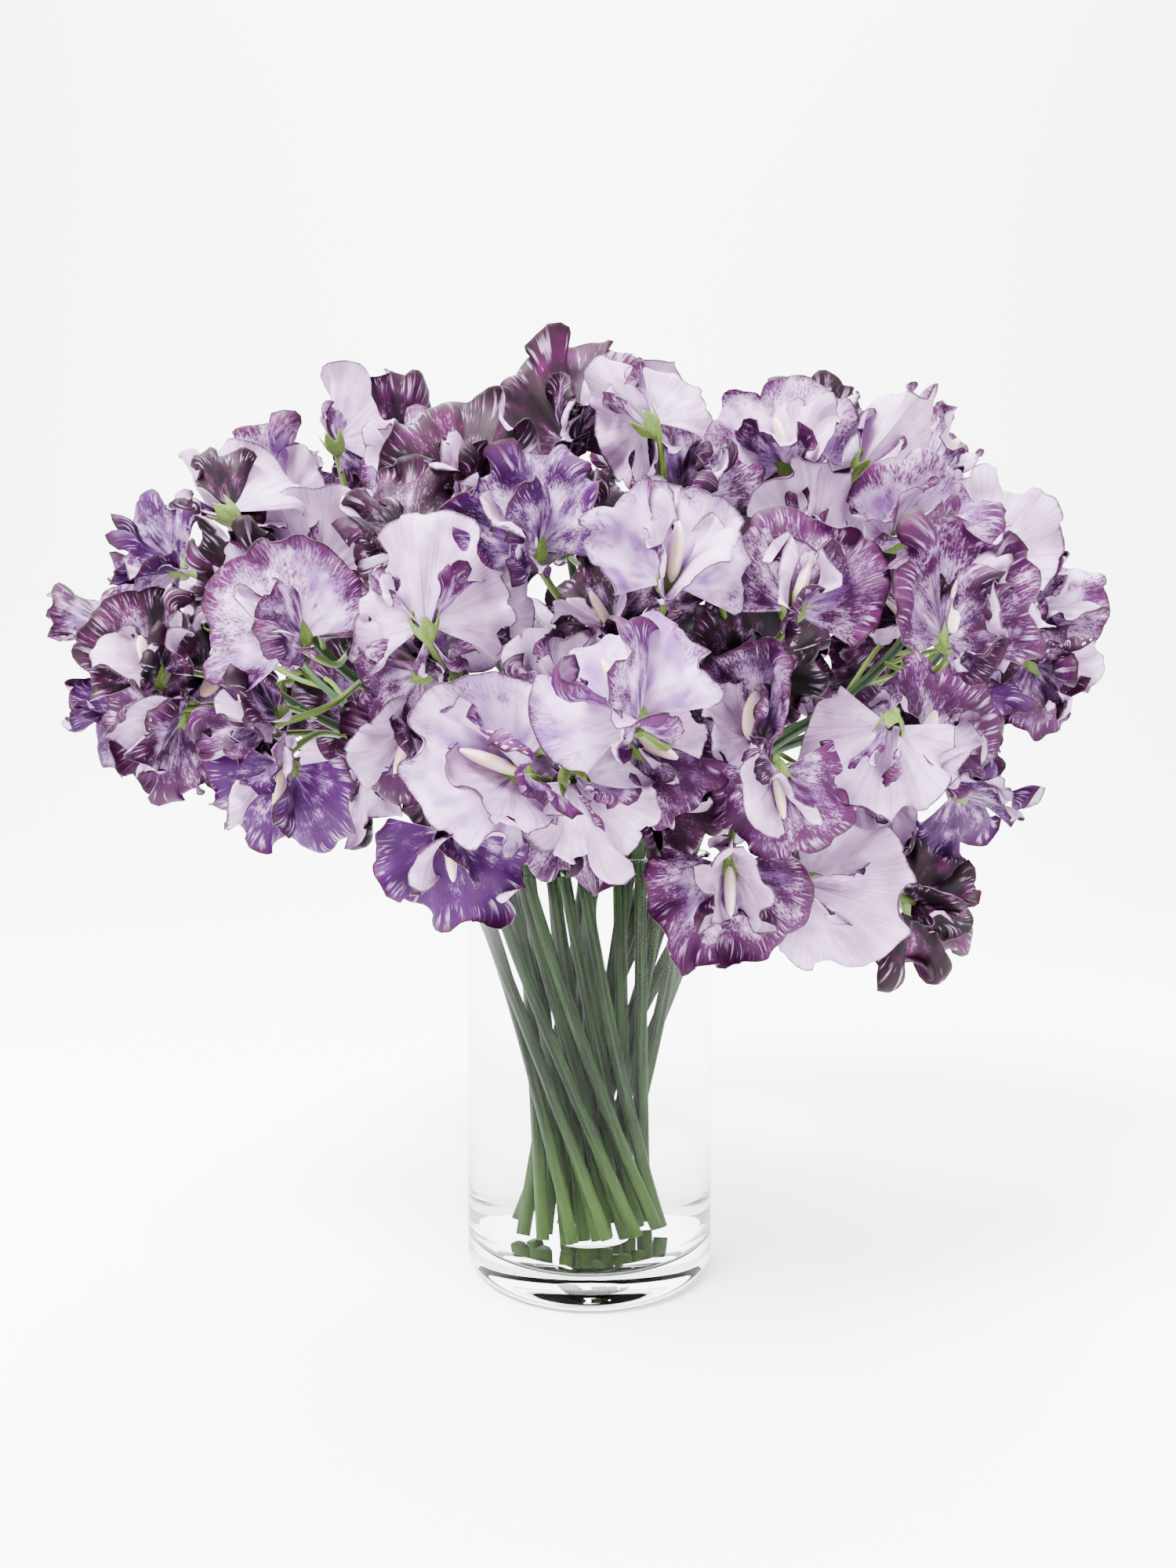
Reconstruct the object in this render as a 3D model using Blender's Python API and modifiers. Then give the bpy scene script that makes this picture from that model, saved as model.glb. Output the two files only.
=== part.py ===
"""A bunch of cut sweet peas standing in a clear glass cylinder vase of water.

Metres, +Z up. The origin is the middle of the vase's foot, on the surface it stands on.
-Y is the front of the bunch and +X its right.

Each flower stem is two pieces: stem_NN, the bare stalk, and blossoms_NN, its flowering end with
the pedicels, calyces and petals. The petals here are plain shells of the right place and
direction, a little narrower than the real ruffled ones.
"""
import math

import bmesh
import bpy
import numpy as np
from mathutils import Matrix, Vector

GAP = 0.0003                 # between two pieces that touch

# The vase, a straight cylinder with a thick floor.
VASE_RADIUS = 0.045
VASE_HEIGHT = 0.150
WALL = 0.003
FLOOR = 0.0115
HEEL = 0.0055                # rounding where the wall meets the foot
LIP = 0.0012                 # rounding of the rim
INNER_CORNER = 0.004
VASE_STEPS = 36
WATER_LEVEL = 0.1440

# The stalks, a spiral bundle that is slimmest a third of the way up the vase.
STALK_RADIUS = 0.0019
FOOT_SCALE = 0.50            # the bundle's spread at the feet, beside its spread at the rim
TWIST = math.radians(110)    # turn of the bundle from the rim down to the feet
RINGS = ((1, 0.0), (6, 0.0129), (9, 0.0258), (12, 0.0383))    # stalks and radius at the rim
FOOT_CLEAR = 0.00095         # a slanting stalk's lowest edge is this much below its foot's middle
FOOT_RISE = 0.0007           # each foot stands this much higher than the one before, in turn
FOOT_STEPS = 7
FREE_POINTS = 9              # points of a stalk above the rim
BEND_START = 0.45            # pulls at a free stalk's two ends, beside its length
BEND_END = 0.50
LOW_FORK = 0.09              # a fork less than this above the rim is reached from the side
SIDEWAYS = 0.6               # sideways and upward parts of a high stalk's end
UPWARDS = 1.1
DROOP = 1.3                  # how much of the upward part a fork at rim height loses
RACHIS_FROM = 0.72           # part of the free stalk where its first blossom springs
RACHIS_STEPS = 3
SPRING_SPAN = 0.8            # part of the rachis that its pedicels spring from
SPRING_TIP = 0.02            # bare tip above the last pedicel, beside the free stalk
PEDICEL_RADIUS = 0.0011
PEDICEL_SWELL = 1.5          # its thickening below the calyx
CALYX_RADIUS = 0.0026
CALYX_LENGTH = 0.005
CALYX_LEAN = 0.5             # how far the calyx tips back from its blossom's face
CALYX_INTO = 0.0012          # how far the calyx reaches past the petals' claws

# The blossoms' stand-in shells.
SHELL_WIDTH = 0.80           # beside the real petal's width
SHELL_HEIGHT = 0.62
SHELL_THICKNESS = 0.0013
SHELL_CUP = 0.20
SHELL_LEVEL = 0.15           # cup's height that stays level with the claw, beside the width
SHELL_SIDES = 0.35           # how far the fan's sides come forward, beside its cup
SHELL_SHOULDER = 0.30        # height of the fan's widest points, beside its own height
SHELL_POINTS = 6             # corners of the fan's outer edge
SHELL_SPREAD = 80            # half of the fan's opening, in degrees
CLAW_STRIP = ((0.0012, -0.001), (0.0026, 0.006))    # half width and rise of the narrow claw
KEEL_LENGTH = 0.40
KEEL_RISE = 0.7              # how far the keel points up beside forward
KEEL_MIDDLE = 0.42           # its middle's distance from the claw, beside its length
KEEL_ROOT = 0.22             # its half widths at the claw and at the tip, beside its length
KEEL_TIP = 0.30
KEEL_SIDES = 4

# Room that each thing keeps while the bunch settles.
BLOSSOM_ROOM = 0.45          # beside the petal's width
STALK_ROOM = 0.0027
PEDICEL_ROOM = 0.0025
OVERHANG = 0.006             # points further out than this from the wall hang beside the vase
HANG_GAP = 0.0012            # and stay this far off it
STALK_YIELD = 0.65           # how readily stalks and flowers give way to each other
FLOWER_YIELD = 0.35
EASE = 0.5                   # part of an overlap that one round undoes
SEAT_DRAG = 0.7              # part of a pedicel's push that its blossom follows
LIMPNESS = 0.3               # part of each neighbour's shift that a stalk's point takes on
HOMING = 0.01                # part of its shift that each point loses in a round
SETTLE_ROUNDS = 260

# The front sprays. First the fork, where a stalk's flowering end stops, in mm. Then its
# blossoms: the middle of the standard petal in mm; the way the blossom faces, as a turn to the
# right from the front and a lift, in degrees; the way its standard points, clockwise from
# straight up as seen from the front; and its width in mm.
FRONT_SPRAYS = (
    ((-98, -2, 272), ((-113, -20, 288, 20, 0, -45, 42), (-97, -10, 304, 150, 0, -4, 42),
                      (-89, -45, 250, 180, 10, 0, 40))),
    ((-112, -18, 246), ((-127, -35, 266, 150, 0, -50, 44), (-148, -30, 250, -25, 0, -75, 42),
                        (-116, -50, 233, -10, 10, -100, 34))),
    ((-122, -4, 214), ((-168, -15, 237, -50, 0, -60, 42), (-173, -12, 209, -35, -5, -85, 42),
                       (-138, -42, 221, -10, 0, -15, 36), (-138, -35, 196, -15, -10, -130, 42))),
    ((-84, -32, 222), ((-91, -63, 224, 0, 0, -30, 44), (-106, -52, 205, -30, 0, -60, 40),
                       (-72, -50, 240, 10, 0, 20, 32))),
    ((-86, -26, 192), ((-92, -50, 173, -5, -15, 190, 44), (-69, -58, 188, 5, -10, -160, 42),
                       (-118, -32, 184, -40, 0, -120, 38))),
    ((-57, -18, 268), ((-62, -58, 256, -20, 0, -30, 44), (-66, -20, 294, -10, 0, -20, 42),
                       (-40, -44, 278, 0, 0, 0, 42))),
    ((-44, -42, 214), ((-42, -82, 234, 175, 0, -6, 48), (-22, -70, 230, 170, 0, 60, 42),
                       (-64, -68, 218, -10, 20, -60, 40))),
    ((-10, -22, 270), ((-5, -25, 306, 0, 10, 0, 46), (-11, -60, 268, 0, 10, -10, 44),
                       (-23, -70, 249, 0, 0, -10, 44))),
    ((22, -16, 274), ((22, -2, 316, 180, 0, 5, 44), (14, -58, 284, 160, 0, -40, 44),
                      (36, -42, 276, 20, 0, 20, 44))),
    ((12, -42, 226), ((22, -86, 238, 10, 0, 5, 48), (-2, -66, 236, -20, 0, -30, 38),
                      (-19, -76, 207, 150, 0, -50, 42))),
    ((26, -46, 200), ((5, -98, 200, -8, 5, -28, 50), (20, -78, 214, 0, 0, 30, 36),
                      (46, -76, 200, -50, 0, 20, 42), (32, -88, 182, 0, 20, 120, 38))),
    ((-18, -52, 179), ((-31, -98, 183, 10, 0, -70, 50), (-35, -88, 156, 0, -10, 175, 40),
                       (4, -92, 172, 170, 0, 150, 38))),
    ((2, -50, 183), ((-2, -84, 163, -10, 0, 190, 38), (-12, -72, 184, 160, 0, -120, 32),
                     (19, -72, 166, 30, 0, 150, 34))),
    ((70, 0, 276), ((66, -26, 296, 0, 0, -20, 44), (88, -4, 311, 30, 0, 20, 44),
                    (49, -36, 272, -20, 0, -10, 42))),
    ((96, -4, 268), ((98, -26, 294, 170, 0, 40, 46), (134, 0, 302, 20, 0, 45, 38),
                     (108, -46, 266, -10, 0, 60, 46))),
    ((120, -18, 240), ((142, -25, 262, 180, 0, 15, 44), (98, -74, 226, 15, 0, 0, 50),
                       (135, -30, 202, 30, 0, 100, 42))),
    ((138, 6, 230), ((172, 0, 250, 10, 0, 45, 44), (138, -36, 230, 180, 0, -45, 36),
                     (170, -12, 212, 15, 0, 120, 44))),
    ((60, -34, 230), ((62, -68, 238, 0, 0, 15, 44), (68, -46, 260, 180, 0, 0, 42),
                      (44, -60, 246, -10, 0, -10, 34), (56, -60, 218, 10, 0, 30, 38))),
    ((98, -32, 180), ((93, -66, 188, 10, 0, 20, 46), (128, -40, 178, 30, 0, 110, 42),
                      (78, -74, 174, 175, 0, -160, 42), (98, -56, 163, 180, 0, 160, 42))),
    ((52, -52, 165), ((76, -72, 155, 170, 0, 100, 44), (52, -80, 143, 0, 0, 180, 42),
                      (102, -58, 142, 20, 0, 110, 38), (50, -86, 174, -10, 0, 170, 38))),
)

# The back sprays: fork in mm. Their blossoms stand round the fork, turned outwards.
BACK_FORKS = ((-118, 30, 226), (-68, 36, 276), (-66, 44, 198), (0, 30, 284),
              (2, 48, 226), (70, 34, 276), (64, 46, 196), (124, 32, 230))
BACK_BLOSSOMS = 5
BACK_RING = 0.030            # radius of the ring of blossoms round a back fork
BACK_REACH = 0.034           # how far that ring stands out from the fork
BACK_TURN = math.radians(25)
HEART = Vector((0.0, 0.0, 0.200))    # the middle of the bunch, which the back blossoms face from
HIDDEN_WIDTH = 0.043

GLASS = ((0.90, 0.92, 0.93), 0.03, 0.25)
WATER = ((0.86, 0.91, 0.93), 0.02, 0.25)
STALK_GREEN = ((0.16, 0.24, 0.12), 0.5, 1.0)
LILAC = ((0.60, 0.50, 0.66), 0.6, 1.0)
PURPLE = ((0.26, 0.09, 0.27), 0.6, 1.0)


# ---------------------------------------------------------------- plan of the bunch

def blossom_frame(turn, lift, clock):
    """Axes of a blossom: its face and its standard's upward way."""
    turn, lift, clock = (math.radians(a) for a in (turn, lift, clock))
    face = Vector((math.sin(turn) * math.cos(lift), -math.cos(turn) * math.cos(lift),
                   math.sin(lift)))
    up = Vector((math.sin(clock), 0.0, math.cos(clock)))
    return face, (up - face * up.dot(face)).normalized()


def front_sprays():
    """(fork, blossoms) of each front spray; a blossom is (centre, face, up, width)."""
    sprays = []
    for fork, rows in FRONT_SPRAYS:
        blossoms = []
        for x, y, z, turn, lift, clock, width in rows:
            face, up = blossom_frame(turn, lift, clock)
            blossoms.append((Vector((x, y, z)) / 1000, face, up, width / 1000))
        sprays.append((Vector(fork) / 1000, blossoms))
    return sprays


def back_sprays():
    """The same for the back sprays, whose blossoms stand in a ring round the fork."""
    sprays = []
    for number, fork in enumerate(BACK_FORKS):
        fork = Vector(fork) / 1000
        out = (fork - HEART).normalized()
        out = (out + Vector((0, 0.8, 0))).normalized()
        side = out.cross(Vector((0, 0, 1))).normalized()
        rise = side.cross(out)
        blossoms = []
        for k in range(BACK_BLOSSOMS):
            angle = math.tau * k / BACK_BLOSSOMS + 0.7 * number
            spoke = side * math.cos(angle) + rise * math.sin(angle)
            centre = fork + out * BACK_REACH + spoke * BACK_RING
            face = (out * math.cos(BACK_TURN * k) + side * math.sin(BACK_TURN * k)).normalized()
            if k % 2:
                face = (face - 1.6 * out).normalized()
            up = (spoke - face * spoke.dot(face)).normalized()
            blossoms.append((centre, face, up, HIDDEN_WIDTH))
        sprays.append((fork, blossoms))
    return sprays


def claw_of(centre, up, width):
    """The foot of a blossom's standard petal."""
    return centre - up * width * SHELL_HEIGHT / 2


def calyx_way(face, up):
    """The way that a calyx opens."""
    return (up - face * CALYX_LEAN).normalized()


def calyx_seat(centre, face, up, width):
    """Where the pedicel meets the calyx, behind and below the standard's claw."""
    return claw_of(centre, up, width) - calyx_way(face, up) * CALYX_LENGTH


def spring_share(k, count):
    """The part of the free stalk at which the k-th of a spray's pedicels springs."""
    return 1 - (1 - RACHIS_FROM) * SPRING_SPAN * k / count - SPRING_TIP


def rim_points(sprays):
    """Where each spray's stalk crosses the rim's plane: low sprays outside, high ones inside."""
    climb = [math.atan2(fork.z - VASE_HEIGHT, math.hypot(fork.x, fork.y)) for fork, _ in sprays]
    order = sorted(range(len(sprays)), key=lambda i: -climb[i])
    places = {}
    for count, radius in RINGS:
        ring, order = order[:count], order[count:]
        bearing = {i: math.atan2(sprays[i][0].y, sprays[i][0].x) for i in ring}
        ring.sort(key=lambda i: bearing[i])
        slots = [math.tau * k / count for k in range(count)]
        drift = [bearing[i] - slot for i, slot in zip(ring, slots)]
        turn = math.atan2(sum(math.sin(d) for d in drift), sum(math.cos(d) for d in drift))
        for i, slot in zip(ring, slots):
            places[i] = Vector((radius * math.cos(slot + turn), radius * math.sin(slot + turn),
                                VASE_HEIGHT))
    return [places[i] for i in range(len(sprays))]


def foot_point(rim, number):
    """The cut end of the stalk that crosses the rim's plane at rim."""
    turned = Matrix.Rotation(TWIST, 3, "Z") @ Vector((rim.x, rim.y, 0)) * FOOT_SCALE
    turned.z = FLOOR + GAP + FOOT_CLEAR + FOOT_RISE * (number * 3 % FOOT_STEPS)
    return turned


def free_stalk(foot, rim, fork):
    """Points of the stalk from the rim's plane to its fork, a smooth bend."""
    reach = (fork - rim).length
    start = (rim - foot).normalized() * reach * BEND_START
    flat = Vector((fork.x, fork.y, 0)).normalized()
    low = max(0.0, 1 - (fork.z - VASE_HEIGHT) / LOW_FORK)
    finish = flat * (SIDEWAYS + low) + Vector((0, 0, UPWARDS - DROOP * low))
    finish = finish.normalized() * reach * BEND_END
    points = []
    for k in range(FREE_POINTS):
        t = (k + 1) / FREE_POINTS
        a, b, c, d = (1 - t) ** 3, 3 * t * (1 - t) ** 2, 3 * t * t * (1 - t), t ** 3
        points.append(a * rim + b * (rim + start) + c * (fork - finish) + d * fork)
    return points


def settle(stalks, sprays):
    """Push stalks, pedicels and blossoms apart until each has its room.

    Returns the stalks' points and the blossoms' centres. A spot is a stalk's point (kind 0), a
    blossom's centre (1), or the seat (2) or middle (3) of a pedicel, which follow their blossom.
    """
    spots, room, owner, kind, host, root, seats = [], [], [], [], [], [], []
    chains = []

    def spot(point, space, number, what, leader, spring, seat=(0, 0, 0)):
        spots.append(point)
        seats.append(tuple(seat))
        room.append(space)
        owner.append(number)
        kind.append(what)
        host.append(leader)
        root.append(spring)

    for number, (points, (_, blossoms)) in enumerate(zip(stalks, sprays)):
        first = len(spots)
        chains.append((first, first + len(points)))
        for k, point in enumerate(points):
            spot(point, STALK_ROOM, number, 0, first + k, first + k)
        for centre, face, up, width in blossoms:
            leader, spring = len(spots), first + len(points) - 2
            seat = calyx_seat(centre, face, up, width) - centre
            spot(centre, width * BLOSSOM_ROOM, number, 1, leader, spring)
            spot(centre + seat, PEDICEL_ROOM, number, 2, leader, spring, seat)
            spot(centre + seat, PEDICEL_ROOM, number, 3, leader, spring, seat)
    home = np.array([tuple(s) for s in spots])
    room, owner, kind = np.array(room), np.array(owner), np.array(kind)
    host, root, seats = np.array(host), np.array(root), np.array(seats)
    stalk_spots, flower_spots = kind == 0, kind > 0
    rank = np.zeros(len(home))
    for start, stop in chains:
        rank[start:stop] = np.arange(1, stop - start + 1) / (stop - start)
    same = owner[:, None] == owner[None, :]
    flower = kind == 1
    bare = stalk_spots & (rank < RACHIS_FROM)
    meets = ~same | (flower[:, None] & flower[None, :])
    meets |= (flower[:, None] & bare[None, :]) | (bare[:, None] & flower[None, :])
    np.fill_diagonal(meets, False)
    need = room[:, None] + room[None, :]
    weight = np.where(stalk_spots, STALK_YIELD, FLOWER_YIELD)
    share = weight[:, None] / (weight[:, None] + weight[None, :])
    place = home.copy()
    for _ in range(SETTLE_ROUNDS):
        middle = (place[root] + place[host] + seats) / 2
        place[flower_spots] = (place[host] + seats)[flower_spots]
        place[kind == 3] = middle[kind == 3]
        away = place[:, None, :] - place[None, :, :]
        gap = np.sqrt((away ** 2).sum(axis=2)) + 1e-9
        push = np.where(meets, np.clip(need - gap, 0, None), 0) * share / gap
        shove = (away * push[:, :, None]).sum(axis=1) * EASE
        np.add.at(shove, host[kind > 1], shove[kind > 1] * SEAT_DRAG)
        place += shove
        for start, stop in chains:
            shift = place[start:stop] - home[start:stop]
            padded = np.vstack([np.zeros((1, 3)), shift, shift[-1:]])
            around = padded[:-2] + padded[2:]
            place[start:stop] = home[start:stop] + (1 - 2 * LIMPNESS) * shift + LIMPNESS * around
        place += HOMING * (home - place)
        clear_of_vase(place, room)
    settled_stalks = [[Vector(p) for p in place[start:stop]] for start, stop in chains]
    centres = [[Vector(p) for p in place[(owner == number) & flower]]
               for number in range(len(sprays))]
    return settled_stalks, centres


def clear_of_vase(place, room):
    """Lift points over the vase's rim and push the ones that hang beside it off the wall."""
    radius = np.hypot(place[:, 0], place[:, 1])
    low = place[:, 2] < VASE_HEIGHT + room + GAP
    outside = low & (radius > VASE_RADIUS + OVERHANG)
    wanted = VASE_RADIUS + room + HANG_GAP
    push = np.where(outside & (radius < wanted), wanted / radius, 1.0)
    place[:, 0] *= push
    place[:, 1] *= push
    over = low & ~outside & (radius > VASE_RADIUS - WALL - room - GAP)
    place[:, 2] = np.where(over, VASE_HEIGHT + room + GAP, place[:, 2])


def plan():
    """Every stem of the settled bunch: foot, points above the rim, and its blossoms."""
    sprays = front_sprays() + back_sprays()
    rims = rim_points(sprays)
    feet = [foot_point(rim, number) for number, rim in enumerate(rims)]
    stalks = [free_stalk(foot, rim, fork) for foot, rim, (fork, _) in zip(feet, rims, sprays)]
    stalks, centres = settle(stalks, sprays)
    stems = []
    for foot, rim, stalk, middles, (_, blossoms) in zip(feet, rims, stalks, centres, sprays):
        settled = [(c, face, up, width) for c, (_, face, up, width) in zip(middles, blossoms)]
        stems.append((foot, rim, stalk, settled))
    return stems


# ---------------------------------------------------------------- making things

def clear():
    for obj in list(bpy.data.objects):
        bpy.data.objects.remove(obj, do_unlink=True)


def collection(name):
    made = bpy.data.collections.new(name)
    bpy.context.scene.collection.children.link(made)
    return made


def finish_of(name, look):
    colour, roughness, alpha = look
    material = bpy.data.materials.new(name)
    material.use_nodes = True
    shader = material.node_tree.nodes["Principled BSDF"]
    shader.inputs["Base Color"].default_value = (*colour, 1.0)
    shader.inputs["Roughness"].default_value = roughness
    shader.inputs["Metallic"].default_value = 0.0
    shader.inputs["Alpha"].default_value = alpha
    return material


def add(name, mesh, home, material=None):
    obj = bpy.data.objects.new(name, mesh)
    home.objects.link(obj)
    if material:
        mesh.materials.append(material)
    return obj


def guide(obj):
    obj.hide_render = True
    obj.display_type = "WIRE"
    return obj


def tube_mesh(name, points, radius, swell=None, resolution=1):
    """A closed tube through the points, with a radius factor for each where swell is given."""
    curve = bpy.data.curves.new(name, "CURVE")
    curve.dimensions = "3D"
    curve.bevel_depth = radius
    curve.bevel_resolution = resolution
    curve.use_fill_caps = True
    spline = curve.splines.new("POLY")
    spline.points.add(len(points) - 1)
    for k, point in enumerate(points):
        spline.points[k].co = (*point, 1.0)
        spline.points[k].radius = swell[k] if swell else 1.0
    obj = bpy.data.objects.new(name, curve)
    bpy.context.scene.collection.objects.link(obj)
    graph = bpy.context.evaluated_depsgraph_get()
    mesh = bpy.data.meshes.new_from_object(obj.evaluated_get(graph))
    bpy.data.objects.remove(obj, do_unlink=True)
    bpy.data.curves.remove(curve)
    body = bmesh.new()
    body.from_mesh(mesh)
    bmesh.ops.remove_doubles(body, verts=body.verts, dist=0.00001)
    bmesh.ops.recalc_face_normals(body, faces=body.faces)
    body.to_mesh(mesh)
    body.free()
    return mesh


def turned(name, profile, home, steps):
    """A solid of revolution about +Z from (radius, height) points, down its outer side."""
    mesh = bpy.data.meshes.new(name)
    mesh.from_pydata([(r, 0, z) for r, z in profile], [(k, k + 1) for k in range(len(profile) - 1)],
                     [])
    obj = add(name, mesh, home)
    screw = obj.modifiers.new("Turn", "SCREW")
    screw.steps = screw.render_steps = steps
    screw.use_merge_vertices = True
    screw.merge_threshold = 0.00001
    screw.use_smooth_shade = False
    return obj


def boolean(obj, operation, pieces):
    """Unite an object with a collection's pieces, or cut them out of it."""
    modifier = obj.modifiers.new(operation.title(), "BOOLEAN")
    modifier.operation = operation
    modifier.operand_type = "COLLECTION"
    modifier.collection = pieces
    modifier.solver = "EXACT"


def arc(centre, radius, start, stop, steps):
    """Points of a profile's round corner, from one angle to another in degrees."""
    points = []
    for k in range(steps + 1):
        angle = math.radians(start + (stop - start) * k / steps)
        points.append((centre[0] + radius * math.cos(angle), centre[1] + radius * math.sin(angle)))
    return points


# ---------------------------------------------------------------- vase and water

def glass_vase(home):
    inner = VASE_RADIUS - WALL
    profile = [(0, FLOOR)]
    profile += arc((inner - INNER_CORNER, FLOOR + INNER_CORNER), INNER_CORNER, -90, 0, 3)
    profile += arc((inner + LIP, VASE_HEIGHT - LIP), LIP, 180, 90, 2)
    profile += arc((VASE_RADIUS - LIP, VASE_HEIGHT - LIP), LIP, 90, 0, 2)
    profile += arc((VASE_RADIUS - HEEL, HEEL), HEEL, 0, -90, 3)
    profile += [(0, 0)]
    obj = turned("glass_vase", profile, home, VASE_STEPS)
    obj.data.materials.append(finish_of("glass", GLASS))
    return obj


def water(home, cutters, stems):
    radius = VASE_RADIUS - WALL - GAP
    corner = INNER_CORNER
    profile = [(0, WATER_LEVEL), (radius, WATER_LEVEL)]
    profile += arc((radius - corner, FLOOR + GAP + corner), corner, 0, -90, 3)
    profile += [(0, FLOOR + GAP)]
    obj = turned("water", profile, home, VASE_STEPS)
    obj.data.materials.append(finish_of("water", WATER))
    tunnels = bpy.data.collections.new("stalk_tunnels")
    cutters.children.link(tunnels)
    for number, (foot, rim, _, _) in enumerate(stems, 1):
        way = (rim - foot).normalized()
        mesh = tube_mesh(f"tunnel_{number:02d}", [foot - way * GAP, rim], STALK_RADIUS + GAP)
        guide(add(f"tunnel_{number:02d}", mesh, tunnels))
    return obj, "DIFFERENCE", tunnels


# ---------------------------------------------------------------- stems and blossoms

def along(points, share):
    """The point a given share of the way along a polyline's points."""
    spot = share * (len(points) - 1)
    k = min(int(spot), len(points) - 2)
    return points[k].lerp(points[k + 1], spot - k)


def stalk(number, stem, home, green):
    """The bare stalk, from its cut foot to where the flowering end begins."""
    foot, rim, free, _ = stem
    upper = [p for k, p in enumerate(free) if (k + 1) / FREE_POINTS < RACHIS_FROM]
    points = [foot, rim] + upper
    stop = along([rim] + free, RACHIS_FROM)
    points.append(stop - (stop - points[-1]).normalized() * GAP)
    obj = add(f"stem_{number:02d}", tube_mesh("stalk", points, STALK_RADIUS), home, green)
    obj.data.set_sharp_from_angle(angle=math.radians(40))
    return obj


def standard_shell(name, centre, face, up, width, home):
    """The standard petal: a cupped fan that opens from its claw, as a thin shell."""
    right = up.cross(face)
    height = width * SHELL_HEIGHT
    claw = claw_of(centre, up, width)
    body = bmesh.new()
    throat = [[body.verts.new(claw + right * side * spread + up * rise)
               for side in (-1, 1)] for spread, rise in CLAW_STRIP]
    rim = []
    for k in range(SHELL_POINTS):
        angle = math.radians(-SHELL_SPREAD + 2 * SHELL_SPREAD * k / (SHELL_POINTS - 1))
        across = width * SHELL_WIDTH / 2 * math.sin(angle)
        along_up = height * (SHELL_SHOULDER + (1 - SHELL_SHOULDER) * math.cos(angle))
        forward = width * SHELL_CUP * (SHELL_SIDES * abs(math.sin(angle)) - SHELL_LEVEL)
        rim.append(body.verts.new(claw + right * across + up * along_up + face * forward))
    low, high = throat
    body.faces.new((low[0], high[0], high[1], low[1]))
    half = SHELL_POINTS // 2
    for k in range(SHELL_POINTS - 1):
        if k == half - 1:
            body.faces.new((high[0], rim[k], rim[k + 1], high[1]))
        else:
            body.faces.new((high[k >= half], rim[k], rim[k + 1]))
    bmesh.ops.triangulate(body, faces=body.faces)
    mesh = bpy.data.meshes.new(name)
    body.to_mesh(mesh)
    body.free()
    obj = guide(add(name, mesh, home))
    skin = obj.modifiers.new("Thickness", "SOLIDIFY")
    skin.thickness = SHELL_THICKNESS
    skin.offset = 0.0
    return claw


def keel_lobe(name, claw, face, up, width, home):
    """The folded wings and keel, one slim lobe that stands forward from the claw."""
    length = width * KEEL_LENGTH
    way = (face + up * KEEL_RISE).normalized()
    side = up.cross(face)
    turn = Matrix((side, way.cross(side), way)).transposed().to_4x4()
    turn.translation = claw + way * length * KEEL_MIDDLE
    body = bmesh.new()
    bmesh.ops.create_cone(body, cap_ends=True, cap_tris=False, segments=KEEL_SIDES,
                          radius1=length * KEEL_ROOT, radius2=length * KEEL_TIP, depth=length)
    bmesh.ops.transform(body, matrix=turn, verts=body.verts)
    mesh = bpy.data.meshes.new(name)
    body.to_mesh(mesh)
    body.free()
    guide(add(name, mesh, home))


def pedicel(name, spring, claw, face, up, home):
    """The blossom's own little stalk, which swells into the calyx behind the claw."""
    into = calyx_way(face, up)
    points = [spring, claw - into * CALYX_LENGTH, claw + into * CALYX_INTO]
    swell = (1, PEDICEL_SWELL, CALYX_RADIUS / PEDICEL_RADIUS)
    mesh = tube_mesh(name, points, PEDICEL_RADIUS, swell, 0)
    guide(add(name, mesh, home))


def flowering_end(number, stem, home, united, petal):
    """The rachis with every pedicel, calyx and petal of one spray, united into one body."""
    _, rim, free, blossoms = stem
    way = [rim] + free
    shares = np.linspace(RACHIS_FROM, 1, RACHIS_STEPS + 1)
    mesh = tube_mesh("rachis", [along(way, s) for s in shares], STALK_RADIUS)
    obj = add(f"blossoms_{number:02d}", mesh, home, petal)
    pieces = bpy.data.collections.new(f"pieces_{number:02d}")
    united.children.link(pieces)
    for k, (centre, face, up, width) in enumerate(blossoms):
        tag = f"{number:02d}_{k + 1}"
        claw = standard_shell(f"standard_{tag}", centre, face, up, width, pieces)
        keel_lobe(f"keel_{tag}", claw, face, up, width, pieces)
        spring = along(way, spring_share(k, len(blossoms)))
        pedicel(f"pedicel_{tag}", spring, claw, face, up, pieces)
    return obj, "UNION", pieces


def main():
    clear()
    bunch = collection("sweet_pea_bunch")
    cutters = collection("cutters")
    green = finish_of("stalk_green", STALK_GREEN)
    petals = (finish_of("lilac_petal", LILAC), finish_of("purple_petal", PURPLE))
    stems = plan()
    glass_vase(bunch)
    joins = [water(bunch, cutters, stems)]
    for number, stem in enumerate(stems, 1):
        stalk(number, stem, bunch, green)
        joins.append(flowering_end(number, stem, bunch, cutters, petals[number % 2]))
    for obj, operation, pieces in joins:
        boolean(obj, operation, pieces)


main()
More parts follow.
